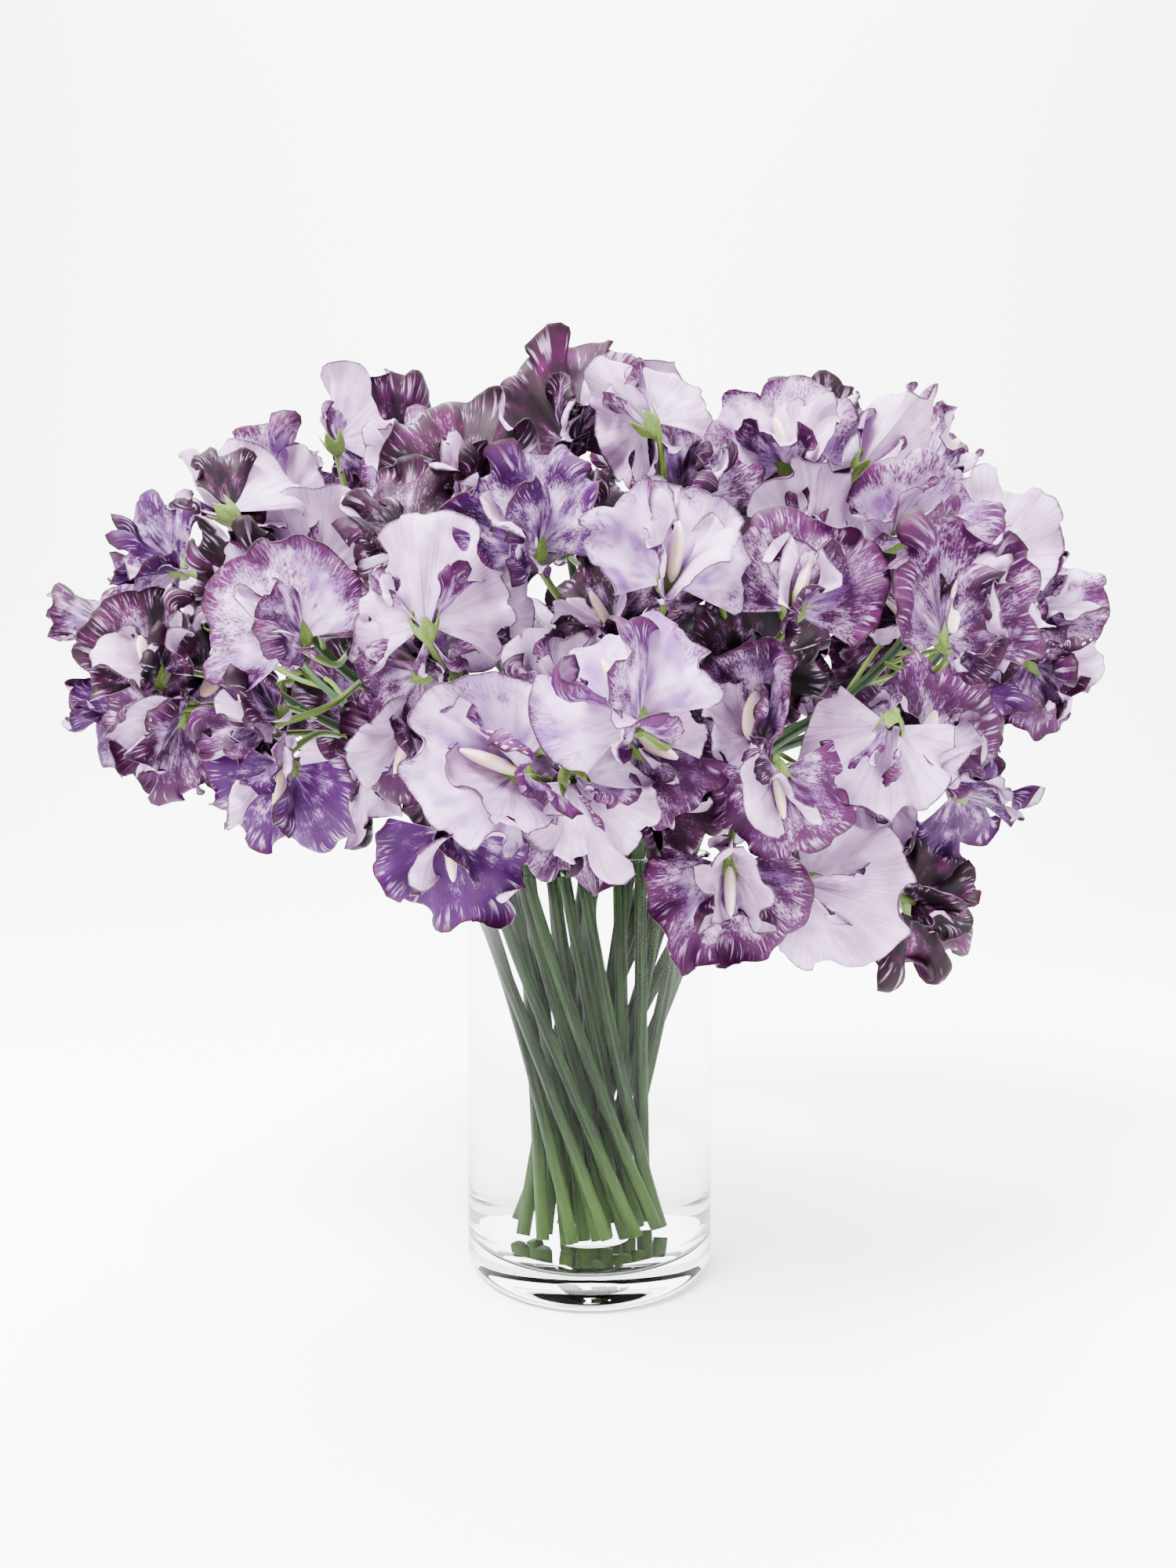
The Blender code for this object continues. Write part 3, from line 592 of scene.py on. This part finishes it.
def bend(along, off, stations, angles):
    """Lay a strip on a path that turns: its direction is given at a few stations along it."""
    steps = np.linspace(stations[0], stations[-1], BEND_STEPS)
    angle = np.interp(steps, stations, angles)
    step = steps[1] - steps[0]
    run, rise = ([0.0] + list(np.cumsum((way[1:] + way[:-1]) / 2 * step))
                 for way in (np.cos(angle), np.sin(angle)))
    here = np.interp(along, steps, angle)
    run = np.interp(along, steps, run) - np.interp(0, steps, run)
    rise = np.interp(along, steps, rise) - np.interp(0, steps, rise)
    return run - np.sin(here) * off, rise + np.cos(here) * off


def roll_rim(reach, out, off, start, turn):
    """Curl the outer band of a petal over, by an angle that may change along the edge."""
    length = np.clip(out - start, 0, 1) * reach
    angle = turn * np.clip((out - start) / (1 - start), 0, 1)
    along = np.minimum(out, start) * reach + length * np.sinc(angle / math.pi)
    over = length * (angle / 2) * np.sinc(angle / math.tau) ** 2
    return along - np.sin(angle) * off, over + np.cos(angle) * off


def wander(angle, rng, scale, size):
    """A slow irregular change along a petal's edge."""
    total = np.zeros_like(angle)
    for count in (1.0, 1.9, 3.1):
        total += np.sin(angle * count * scale + rng.uniform(0, math.tau)) / count
    return total * size


def ruffle(angle, out, height, strength, rng, seed):
    """How far each point of a fan stands off its plane, and how far round the fan it slips."""
    off, slip = np.zeros_like(angle), np.zeros_like(angle)
    calm = np.clip(0.75 + wander(angle, rng, 1.4, 0.42), 0.15, 1.5)
    counts = [rng.uniform(*span) for span, _, _ in WAVES]
    for count, (_, share, start) in zip(counts, WAVES):
        phase = angle * count + rng.uniform(0, math.tau) + wander(angle, rng, 2.0, 0.9)
        grow = np.clip((out - start) / (1 - start), 0, 1) ** 1.7 * calm * share
        off += grow * height * strength * np.sin(phase)
        slip -= grow * strength * WAVE_SLIP * np.sin(2 * phase)
    off += height * DISH * np.sin(angle * 1.7 + seed) * out * out
    off += height * CREASE * np.sin(angle * 23 + seed) * np.clip(out * 1.6 - 0.2, 0, 1)
    return off, slip


def petal(piece, origin, axes, size, form, tone, rng, seed):
    """One petal: a ruffled fan whose rim, sides and top are rolled, set out from its claw.

    size is (height, half opening, shoulder, notch, rows, columns) and form is (fold, left roll,
    right roll, top roll, ruffle), with angles in degrees. Its front looks along axes' face.
    """
    height, opening, shoulder, notch, rows, columns = size
    fold, left, right, top, strength = form
    out = np.linspace(0.02, 1, rows)[:, None] ** 0.8
    angle = np.linspace(-1, 1, columns)[None, :] * math.radians(opening) + 0 * out
    out = out + 0 * angle
    edge = shoulder + (1 - shoulder) * np.cos(angle) + wander(angle, rng, 2.2, 0.03)
    edge = edge - notch * np.exp(-(angle / NOTCH_WIDTH) ** 2)
    off, slip = ruffle(angle, out, height, strength, rng, seed)
    # the rim curls over here and there
    turn = math.radians(60) * wander(angle, rng, 2.6, 1.2)
    turn += math.radians(rng.uniform(-90, 40))
    along, off = roll_rim(height * edge, out, off, rng.uniform(0.78, 0.88), turn)
    spread = angle + slip
    x, z = along * np.sin(spread), along * np.cos(spread)
    # fold about the midline and roll each side
    fold, left, right, top = (math.radians(a) for a in (fold, left, right, top))
    stations = (0, height * 0.05, height * 0.30, height * 1.3)
    halves = [bend(np.abs(x), off, stations, (0, fold, fold * 0.9, fold * 0.9 + roll))
              for roll in (left, right)]
    side = np.where(x < 0, -halves[0][0], halves[1][0])
    deep = np.where(x < 0, halves[0][1], halves[1][1])
    # lean and roll the top
    stations = (-height, 0, height * 0.35, height * 1.3)
    lean = rng.uniform(-0.15, 0.15)
    rise, deep = bend(z, deep, stations, (lean, lean, lean, lean + top))
    local = np.stack([side, deep, rise], axis=2)
    fan = np.stack([angle, out, np.full_like(angle, seed)], axis=2)
    add_shell(piece, set_out(local, *axes, origin), fan, tone, PETAL_THICKNESS)


def toned(look, rng, low, high):
    """The tone of one petal: its blossom's, a little stronger or weaker."""
    flakes, dark, violet = TONES[look[0]]
    return flakes * rng.uniform(low, high), dark * rng.uniform(low, high), violet


def standard(piece, claw, face, up, width, look, rng, seed):
    """The broad standard petal, opening from its claw."""
    fold, sides, top, strength = FORMS[look[1]]
    form = (fold + rng.uniform(-10, 10), sides + rng.uniform(-45, 45),
            sides + rng.uniform(-45, 45), top + rng.uniform(-25, 25),
            strength * rng.uniform(0.85, 1.25))
    size = (width * STANDARD_HEIGHTS[look[0]], STANDARD_OPENING, STANDARD_SHOULDER,
            STANDARD_NOTCH, STANDARD_ROWS, STANDARD_COLUMNS)
    petal(piece, claw, (up.cross(face), face, up), size, form, toned(look, rng, 0.75, 1.2),
          rng, seed)


def wing(piece, claw, face, up, width, look, rng, seed, hand):
    """One of the two wing petals, which stand forward on either side of the keel."""
    spread = math.radians(rng.uniform(0, 34)) * hand
    lean = math.radians(rng.uniform(40, 74))
    right = up.cross(face)
    way = (up * math.cos(lean) + face * math.sin(lean)).normalized()
    way = (way * math.cos(spread) + right * math.sin(spread)).normalized()
    outer = right * hand * 0.9 + face * rng.uniform(-0.1, 0.6) - up * rng.uniform(-0.3, 0.4)
    outer = (outer - way * outer.dot(way)).normalized()
    form = (0, rng.uniform(-110, -10), rng.uniform(-110, -10), rng.uniform(-60, 80),
            rng.uniform(0.10, 0.19))
    size = (width * rng.uniform(0.48, 0.58), WING_OPENING, WING_SHOULDER, 0.0,
            WING_ROWS, WING_COLUMNS)
    flakes, dark, violet = toned(look, rng, 0.8, 1.25)
    petal(piece, claw + outer * width * 0.03, (way.cross(outer), outer, way), size, form,
          (max(flakes, 0.5), dark + 0.2, violet), rng, seed + 3.7 * hand)


def keel(piece, claw, face, up, width, seed):
    """The folded cream keel between the wings, a flat crescent with a blunt upturned tip."""
    length = width * KEEL_LENGTH
    way = (face * KEEL_FORWARD + up * KEEL_UPWARD).normalized()
    rise = (up - way * up.dot(way)).normalized()
    steps = np.linspace(0, 1, 18)
    path = [Vector(claw) + way * length * t + rise * length * KEEL_CURL * t * t for t in steps]
    swell = (1 - np.abs(2 * steps - 1.02) ** 2.6) ** 0.7
    radii = width * (KEEL_TIP + KEEL_SWELL * swell)
    add_tube(piece, path, radii, sides=16, seed=seed, flat=(way.cross(rise), KEEL_PRESSED))


def calyx(piece, claw, face, up, seed):
    """The green cup with five pointed teeth that holds the petals, and its tip behind."""
    into = calyx_way(face, up)
    back = claw - into * CALYX_LENGTH
    side = into.cross(face).normalized()
    other = into.cross(side)
    t = np.linspace(0, 1, CALYX_ROWS)[:, None]
    turn = np.linspace(0, math.tau, CALYX_COLUMNS)[None, :]
    tooth = np.abs(np.mod(turn / math.tau * CALYX_TEETH, 1) - 0.5) * 2
    tall = CALYX_LENGTH * (1.05 + 0.75 * (1 - tooth) ** 1.3)
    radius = CALYX_ROOT + CALYX_SWELL * np.sin(np.clip(t * 1.25, 0, 1) * math.pi / 2)
    radius = radius + CALYX_FLARE * np.clip(t - 0.6, 0, 1) * (1 - tooth)
    along = t * tall
    spoke = (np.cos(turn)[..., None] * np.array(side)
             + np.sin(turn)[..., None] * np.array(other))
    sheet = (np.array(back) + spoke * (radius + 0 * turn)[..., None]
             + along[..., None] * np.array(into))
    fan = np.stack([turn + 0 * t, t + 0 * turn, np.full((CALYX_ROWS, CALYX_COLUMNS), seed)],
                   axis=2)
    add_shell(piece, sheet, fan, NO_TONE, CALYX_THICKNESS, back=0)


# -------------------- materials

class Nodes:
    """A short way to write a material's nodes."""

    def __init__(self, name):
        self.material = bpy.data.materials.new(name)
        self.material.use_nodes = True
        self.tree = self.material.node_tree
        self.shader = self.tree.nodes["Principled BSDF"]
        self.output = self.tree.nodes["Material Output"]

    def link(self, source, target):
        self.tree.links.new(source, target)

    def finish(self, **values):
        """Fill sockets of the shader itself, named with _ for each space."""
        for title, value in values.items():
            self.put(self.shader.inputs[title.replace("_", " ")], value)

    def put(self, socket, value):
        if isinstance(value, bpy.types.NodeSocket):
            self.link(value, socket)
        else:
            socket.default_value = value

    def add(self, kind, inputs=None, **settings):
        """A node with its settings, and then its sockets, by name or number, filled."""
        node = self.tree.nodes.new("ShaderNode" + kind)
        for key, value in settings.items():
            setattr(node, key, value)
        for key, value in (inputs or {}).items():
            self.put(node.inputs[key], value)
        return node

    def math(self, operation, a, b=0.0):
        return self.add("Math", {0: a, 1: b}, operation=operation).outputs[0]

    def plus(self, a, b):
        return self.math("ADD", a, b)

    def minus(self, a, b):
        return self.math("SUBTRACT", a, b)

    def times(self, a, b):
        return self.math("MULTIPLY", a, b)

    def attribute(self, name):
        """The three numbers that the mesh holds under this name."""
        source = self.add("Attribute", attribute_name=name)
        return self.add("SeparateXYZ", {0: source.outputs["Vector"]}).outputs

    def join(self, x, y, z):
        return self.add("CombineXYZ", {0: x, 1: y, 2: z}).outputs[0]

    def noise(self, vector, scale, detail=3.0, roughness=0.55):
        inputs = {"Vector": vector, "Scale": scale, "Detail": detail, "Roughness": roughness}
        return self.add("TexNoise", inputs).outputs["Fac"]

    def ramp(self, value, low, high, bottom=0.0, top=1.0):
        """A smooth step from bottom to top as value goes from low to high."""
        inputs = dict(enumerate((value, low, high, bottom, top)))
        return self.add("MapRange", inputs, interpolation_type="SMOOTHSTEP").outputs[0]

    def mix(self, factor, a, b):
        return self.add("Mix", {"Factor": factor, 6: a, 7: b}, data_type="RGBA").outputs[2]

    def bump(self, height, strength, distance):
        inputs = {"Strength": strength, "Distance": distance, "Height": height}
        self.link(self.add("Bump", inputs).outputs[0], self.shader.inputs["Normal"])


def colour(r, g, b):
    """A display colour, 0 to 255, as the linear values that a shader takes."""
    linear = [c / 255 / 12.92 if c / 255 <= 0.04045 else ((c / 255 + 0.055) / 1.055) ** 2.4
              for c in (r, g, b)]
    return (*linear, 1.0)


LILAC_WHITE = colour(208, 174, 218)
LILAC_GREY = colour(164, 130, 168)
LILAC = colour(124, 80, 148)
MAUVE = colour(80, 34, 88)
PURPLE = colour(64, 2, 52)
VIOLET = colour(56, 4, 74)
MAROON = colour(24, 1, 15)
# near black for the painted shade on a petal's front
SHADE_BLACK = colour(6, 1, 5)
INDIGO = colour(24, 2, 50)
CREAM = colour(192, 170, 126)
KEEL_ROOT = colour(208, 214, 160)
CALYX_DEEP = colour(50, 66, 22)
CALYX_BRIGHT = colour(88, 108, 44)
STALK_DEEP = colour(13, 24, 12)
STALK_BRIGHT = colour(40, 64, 30)
STALK_FOOT = colour(66, 94, 36)
PALE_FOOT = 0.05  # length of the paler green above a stalk's cut end
TRANSLUCENCE = 0.25  # share of a petal's light that comes through it


def petal_marks(n):
    """What both skins are painted from: a petal's tone, its noises and its zones."""
    # angle runs round the fan from its midline, and out from the claw, 0, to the edge, 1
    angle, out, seed = n.attribute("fan")
    flakes, dark, violet = n.attribute("tone")

    def pattern(across, along, detail=2.0):
        spot = n.join(n.times(angle, across), n.times(out, along), seed)
        return n.noise(spot, 1.0, detail, 0.6)

    m = SimpleNamespace(out=out, flakes=flakes, dark=dark)
    m.stipple = pattern(56.0, 24.0, 3.0)
    m.streak = pattern(30.0, 3.2)
    m.vein = pattern(34.0, 1.3)
    m.cloud = pattern(1.7, 2.0)
    m.patch = pattern(3.2, 3.0)
    near = n.plus(n.math("ABSOLUTE", angle), n.times(m.streak, 0.14))
    m.midline = n.times(n.ramp(near, 0.05, 0.30, 1.0, 0.0), n.ramp(out, 0.15, 0.72, 1.0, 0.0))
    m.rim = n.ramp(n.plus(out, n.times(m.stipple, 0.03)), 0.985, 1.012)
    deep = n.times(dark, n.ramp(m.patch, 0.30, 0.62))
    m.ink = n.mix(deep, n.mix(violet, PURPLE, VIOLET), MAROON)
    return m


def front_look(n, m):
    """Pale lilac, stippled and flaked with ink, darker at the fringe and down the midline, with
    near-black painted shade in cloudy patches and toward the throat.
    """
    throat = n.ramp(m.out, 0.04, 0.40, 1.0, 0.0)
    ground = n.mix(n.ramp(m.cloud, 0.35, 0.70), LILAC_WHITE, LILAC)
    cover = n.plus(n.times(m.flakes, 0.56), n.times(n.ramp(m.out, 0.50, 1.0), 0.22))
    cover = n.plus(cover, n.times(n.minus(m.patch, 0.5), 0.80))
    cover = n.minus(cover, n.times(throat, 0.16))
    grain = n.plus(n.times(m.stipple, 0.72), n.times(m.streak, 0.28))
    flaked = n.ramp(n.plus(grain, cover), 0.66, 0.98)
    look = n.mix(n.ramp(cover, 0.0, 0.7, 0.0, 0.55), ground, m.ink)
    look = n.mix(flaked, look, m.ink)
    # Painted shade: darker blossoms go near black in cloudy patches, and more toward the throat.
    shade = n.plus(m.cloud, n.times(throat, 0.2))
    painted_throat_shade = n.times(m.dark, n.ramp(shade, 0.38, 0.66))
    look = n.mix(n.times(painted_throat_shade, 0.85), look, SHADE_BLACK)
    dashes = n.times(n.ramp(m.streak, 0.54, 0.66), n.ramp(m.out, 0.72, 0.90))
    look = n.mix(n.times(dashes, 0.5), look, LILAC_WHITE)
    fringe = n.plus(m.out, n.times(n.minus(m.streak, 0.5), 0.30))
    fringe = n.times(n.ramp(fringe, 0.90, 1.02), n.ramp(m.flakes, 0.0, 0.4, 0.5, 0.9))
    look = n.mix(fringe, look, n.mix(n.ramp(m.dark, 0.0, 0.8), PURPLE, MAROON))
    return n.mix(n.times(m.midline, 0.92), look, INDIGO)


def back_look(n, m):
    """Greyer lilac with fine veins, patchy mauve that deepens toward the claw as painted shade,
    and faint flakes from the front.
    """
    ground = n.mix(n.ramp(m.cloud, 0.35, 0.70), LILAC_GREY, LILAC_WHITE)
    look = n.mix(n.times(n.ramp(m.vein, 0.42, 0.66), 0.30), ground, MAUVE)
    # Patchy mauve is the petal's own tone. Its deepening toward the claw is painted shade.
    blush_and_claw_shade = n.times(n.ramp(m.patch, 0.48, 0.72), n.ramp(m.out, 0.9, 0.2, 0.25, 0.75))
    look = n.mix(n.times(blush_and_claw_shade, 0.6), look, MAUVE)
    specks = n.times(n.ramp(m.stipple, 0.56, 0.70), m.flakes)
    look = n.mix(n.times(specks, 0.35), look, m.ink)
    streaks = n.times(m.midline, n.ramp(m.vein, 0.30, 0.52))
    return n.mix(n.times(streaks, 0.9), look, INDIGO)


def petal_material(name, paint):
    """Petal skin: what paint makes of the marks, with a dark thin rim, letting light through."""
    n = Nodes(name)
    m = petal_marks(n)
    look = n.mix(n.times(m.rim, 0.9), paint(n, m), MAROON)
    n.finish(Base_Color=look, Roughness=0.6, Specular_IOR_Level=0.15)
    n.bump(n.plus(m.vein, n.times(m.stipple, 0.4)), 0.4, 0.0004)
    glow = n.add("BsdfTranslucent", {"Color": look})
    blend = n.add("MixShader", {0: TRANSLUCENCE, 1: n.shader.outputs[0], 2: glow.outputs[0]})
    n.link(blend.outputs[0], n.output.inputs["Surface"])
    return n.material


def keel_material():
    """Mottled cream, greener at the root."""
    n = Nodes("keel_cream")
    turn, along, seed = n.attribute("fan")
    spot = n.join(n.times(turn, 6.0), n.times(along, 300.0), seed)
    mottle = n.noise(spot, 1.0)
    look = n.mix(n.ramp(mottle, 0.35, 0.75), CREAM, LILAC_WHITE)
    look = n.mix(n.ramp(along, 0.008, 0.0, 0.0, 0.6), look, KEEL_ROOT)
    n.finish(Base_Color=look, Roughness=0.5)
    n.bump(mottle, 0.2, 0.0003)
    return n.material


def green_material(name, deep, bright, rough, pale_foot=None):
    """Stalks and calyces: long fine ribs and patchy green, paler near the foot where asked."""
    n = Nodes(name)
    turn, along, seed = n.attribute("fan")
    ribs = n.join(n.times(turn, 14.0), n.times(along, 25.0), seed)
    grain = n.noise(ribs, 1.0, 3.0)
    patch = n.noise(n.join(turn, n.times(along, 60.0), seed), 1.0)
    look = n.mix(n.ramp(grain, 0.35, 0.68), deep, bright)
    look = n.mix(n.times(n.ramp(patch, 0.45, 0.75), 0.35), look, bright)
    if pale_foot:
        look = n.mix(n.ramp(along, pale_foot, 0.0, 0.0, 0.75), look, STALK_FOOT)
    n.finish(Base_Color=look, Roughness=rough, Specular_IOR_Level=0.2)
    n.bump(grain, 0.5, 0.0004)
    return n.material


def clear_material(name, ior, tint):
    """Clear glass or water, with a very faint waviness and a soft gloss."""
    n = Nodes(name)
    n.finish(Base_Color=tint, Transmission_Weight=1.0, IOR=ior, Roughness=0.0,
             Specular_Tint=(0.05, 0.05, 0.05, 1))
    where = n.add("TexCoord").outputs["Object"]
    n.bump(n.noise(where, 24.0, 1.0), 0.02, 0.0005)
    return n.material


# -------------------- vase and water

INNER = VASE_RADIUS - WALL
CORNER = 0.004  # rounding where the inner wall meets the floor
HEEL = 0.0055  # rounding where the outer wall meets the foot
LIP = 0.0013  # rounding of the rim
STRAIGHT = 0.0008  # a wall is dead straight from this far past each rounding
FOOT_RIM = 0.006  # width of the flat ring that the vase stands on
HOLLOW = 0.0005  # rise of the foot's middle over that ring
FLOOR_DISH = 0.0002  # dip of the inner floor's middle
FILM = 0.0002  # the water reaches this far into the glass, so that no air is between
BRIM = 0.0006  # how far the water climbs the glass at its edge
TURN_STEPS = 144


def turned(name, profile, material, stands_for):
    """A smooth solid turned about the vase's axis from (radius, height) points."""
    mesh = bpy.data.meshes.new(name)
    edges = [(k, k + 1) for k in range(len(profile) - 1)]
    mesh.from_pydata([(r, 0, z) for r, z in profile], edges, [])
    mesh.materials.append(material)
    obj = placed(name, mesh)
    screw = obj.modifiers.new("Turn", "SCREW")
    screw.steps = screw.render_steps = TURN_STEPS
    screw.use_merge_vertices = True
    screw.merge_threshold = 0.00001
    screw.use_smooth_shade = True
    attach(obj, "root")
    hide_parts(stands_for)


def arc(centre, radius, start, stop, steps):
    """Points of an arc, with its ends in degrees."""
    points = []
    for k in range(steps + 1):
        angle = math.radians(start + (stop - start) * k / steps)
        points.append((centre[0] + radius * math.cos(angle), centre[1] + radius * math.sin(angle)))
    return points


def vase():
    """The glass, from the middle of its inner floor up, over the rim and down to the foot."""
    ring = VASE_RADIUS - HEEL - FOOT_RIM
    profile = [(0, FLOOR), (INNER * 0.5, FLOOR - FLOOR_DISH)]
    profile += arc((INNER - CORNER, FLOOR + CORNER), CORNER, -90, 0, 8)
    profile += [(INNER, FLOOR + CORNER + STRAIGHT), (INNER, VASE_HEIGHT - LIP - STRAIGHT)]
    profile += arc((INNER + LIP, VASE_HEIGHT - LIP), LIP, 180, 90, 6)
    profile += arc((VASE_RADIUS - LIP, VASE_HEIGHT - LIP), LIP, 90, 0, 6)
    profile += [(VASE_RADIUS, VASE_HEIGHT - LIP - STRAIGHT), (VASE_RADIUS, HEEL + STRAIGHT)]
    profile += arc((VASE_RADIUS - HEEL, HEEL), HEEL, 0, -90, 10)
    profile += [(ring, 0.0), (ring - 0.001, HOLLOW), (0, HOLLOW)]
    glass = clear_material("clear_glass", 1.47, (0.985, 0.99, 0.99, 1))
    turned("vase_glass", profile, glass, "glass_vase")


def water():
    """The water, from the middle of its surface out, up at the brim and down to the floor."""
    radius = INNER + FILM
    profile = [(0, WATER_LEVEL), (radius - 0.002, WATER_LEVEL),
               (radius - 0.0008, WATER_LEVEL + BRIM / 3), (radius, WATER_LEVEL + BRIM),
               (radius, WATER_LEVEL + BRIM / 2), (radius, WATER_LEVEL - STRAIGHT),
               (radius, FLOOR + CORNER + STRAIGHT)]
    profile += arc((radius - CORNER, FLOOR + CORNER - FILM / 2), CORNER, 0, -90, 8)
    profile += [(0, FLOOR - FILM / 2)]
    clear = clear_material("clear_water", 1.33, (0.99, 1.0, 1.0, 1))
    turned("vase_water", profile, clear, "water")


# -------------------- the stems

STALK_RIBS = 0.07  # height of a stalk's four ribs, beside its radius
TAPER_FROM = 0.8  # a stalk thins from this part of its length on
TAPER = 0.35  # and has lost this part of its radius at its tip
PEDICEL_BOW = 0.14  # how far a pedicel bows, beside its length
PEDICEL_INTO = 0.0015  # how far it reaches into the calyx
PEDICEL_ROOT, PEDICEL_NECK = 0.00095, 0.0014  # its radii at the stalk and at the calyx
WING_FORWARD = 0.02  # how far wings and keel stand before the claw, beside the width
KEEL_BEFORE = 0.04


def add_stalk(piece, foot, rim, free, seed):
    """The whole stalk, from its cut end in the vase to its tip."""
    path = smooth_path([foot, foot.lerp(rim, 0.33), foot.lerp(rim, 0.66), rim] + list(free))
    share = np.linspace(0, 1, len(path))
    thinned = 1 - TAPER * (share - TAPER_FROM) / (1 - TAPER_FROM)
    radii = STALK_RADIUS * np.where(share > TAPER_FROM, thinned, 1.0)
    add_tube(piece, path, radii, sides=24, seed=seed, ribs=STALK_RIBS)


def add_pedicel(piece, spring, claw, face, up, seed):
    """A bowed pedicel from the stalk to inside the calyx."""
    into = calyx_way(face, up)
    seat = claw - into * CALYX_LENGTH
    middle = spring.lerp(seat, 0.5) - into * (seat - spring).length * PEDICEL_BOW
    path = smooth_path([spring, middle, seat, seat + into * PEDICEL_INTO])
    radii = np.linspace(PEDICEL_ROOT, PEDICEL_NECK, len(path))
    add_tube(piece, path, radii, sides=10, seed=seed)


def build_stem(number, stem, skins):
    """One flower stem's pieces: its stalk, standards, wings, keels, and calyces with pedicels."""
    foot, rim, free, blossoms = stem
    rng = np.random.default_rng(1000 + number)
    tag = f"{number:02d}"
    stalk = Piece()
    add_stalk(stalk, foot, rim, free, number * 1.7)
    stalk.make(f"stalk_{tag}", [skins["stalk"]], [f"stem_{tag}"], "stalk")
    standards, wings, keels, greens = Piece(), Piece(), Piece(), Piece()
    way = [rim] + list(free)
    for k, (centre, face, up, width, look) in enumerate(blossoms):
        seed = number * 7.3 + k * 2.9
        spot = spring_share(k, len(blossoms)) * (len(way) - 1)
        low = min(int(spot), len(way) - 2)
        spring = way[low].lerp(way[low + 1], spot - low)
        claw = claw_of(centre, up, width)
        standard(standards, claw, face, up, width, look, rng, seed)
        for hand in (-1, 1):
            wing(wings, claw + face * width * WING_FORWARD, face, up, width, look, rng, seed, hand)
        keel(keels, claw + face * width * KEEL_BEFORE, face, up, width, seed)
        calyx(greens, claw, face, up, seed)
        add_pedicel(greens, spring, claw, face, up, seed)
    petals = [skins["front"], skins["back"]]
    standards.make(f"standards_{tag}", petals, [f"blossoms_{tag}"], "petal")
    wings.make(f"wings_{tag}", petals, None, "petal")
    keels.make(f"keels_{tag}", [skins["keel"]], None, "petal")
    greens.make(f"calyces_{tag}", [skins["calyx"]], None, "stalk")


# -------------------- stage, light, camera

SWEEP_WIDTH = 5.0
SWEEP_NEAR, SWEEP_FAR = -1.2, 0.9  # the flat floor's edges, before and behind the vase
SWEEP_RADIUS = 0.6  # curve from the floor up into the backdrop
SWEEP_TOP = 2.4
SKY = 1.9  # strength of the soft light from all round
LAMPS = (("key", (-0.6, -0.7, 1.4), 0.6, 215),  # place, size and power of each square lamp
         ("fill", (1.1, -0.7, 0.8), 0.8, 42),
         ("back", (0, 1.0, 2.2), 2.4, 330))
LIT = Vector((0, 0.2, 0.2))  # the point that the lamps face
EYE = (-0.0006, -0.372, 0.175)
LENS = 22.9  # in mm, on a sensor 36 mm wide


def studio_white():
    """The plain pale floor's paint."""
    n = Nodes("studio_white")
    n.finish(Base_Color=(0.94, 0.94, 0.94, 1), Roughness=0.9, Specular_IOR_Level=0.0)
    return n.material


def backdrop():
    """A pale floor that sweeps up into a pale backdrop."""
    floor = bpy.data.meshes.new("studio_floor")
    body = bmesh.new()
    curve = arc((SWEEP_FAR, SWEEP_RADIUS), SWEEP_RADIUS, -90, 0, 15)
    profile = [(SWEEP_NEAR, 0.0)] + curve + [(SWEEP_FAR + SWEEP_RADIUS, SWEEP_TOP)]
    sides = (-SWEEP_WIDTH / 2, SWEEP_WIDTH / 2)
    rows = [[body.verts.new((x, y, z)) for x in sides] for y, z in profile]
    for low, high in zip(rows, rows[1:]):
        body.faces.new((low[0], low[1], high[1], high[0]))
    body.to_mesh(floor)
    body.free()
    floor.shade_smooth()
    floor.materials.append(studio_white())
    placed("studio_floor", floor)


def lights():
    """Soft light from all round, and three square lamps."""
    world = bpy.data.worlds.new("soft_sky")
    bpy.context.scene.world = world
    world.use_nodes = True
    for title, value in (("Color", (1, 1, 1, 1)), ("Strength", SKY)):
        world.node_tree.nodes["Background"].inputs[title].default_value = value
    for name, spot, size, power in LAMPS:
        light = bpy.data.lights.new(name, "AREA")
        light.shape = "SQUARE"
        light.size = size
        light.energy = power
        lamp = placed(name, light)
        lamp.location = spot
        lamp.rotation_euler = (LIT - Vector(spot)).to_track_quat("-Z", "Y").to_euler()


def camera():
    """A level camera in front of the bunch."""
    lens = bpy.data.cameras.new("camera")
    lens.lens = LENS
    lens.sensor_width = 36.0
    lens.clip_start = 0.01
    eye = placed("camera", lens)
    eye.location = EYE
    eye.rotation_euler = (math.radians(90), 0, 0)
    bpy.context.scene.camera = eye


def main():
    backdrop()
    lights()
    camera()
    vase()
    water()
    skins = {
        "front": petal_material("petal_front", front_look),
        "back": petal_material("petal_back", back_look),
        "keel": keel_material(),
        "calyx": green_material("calyx_green", CALYX_DEEP, CALYX_BRIGHT, 0.5),
        "stalk": green_material("stalk_green", STALK_DEEP, STALK_BRIGHT, 0.6, PALE_FOOT),
    }
    for number, stem in enumerate(plan(), 1):
        build_stem(number, stem, skins)


main()
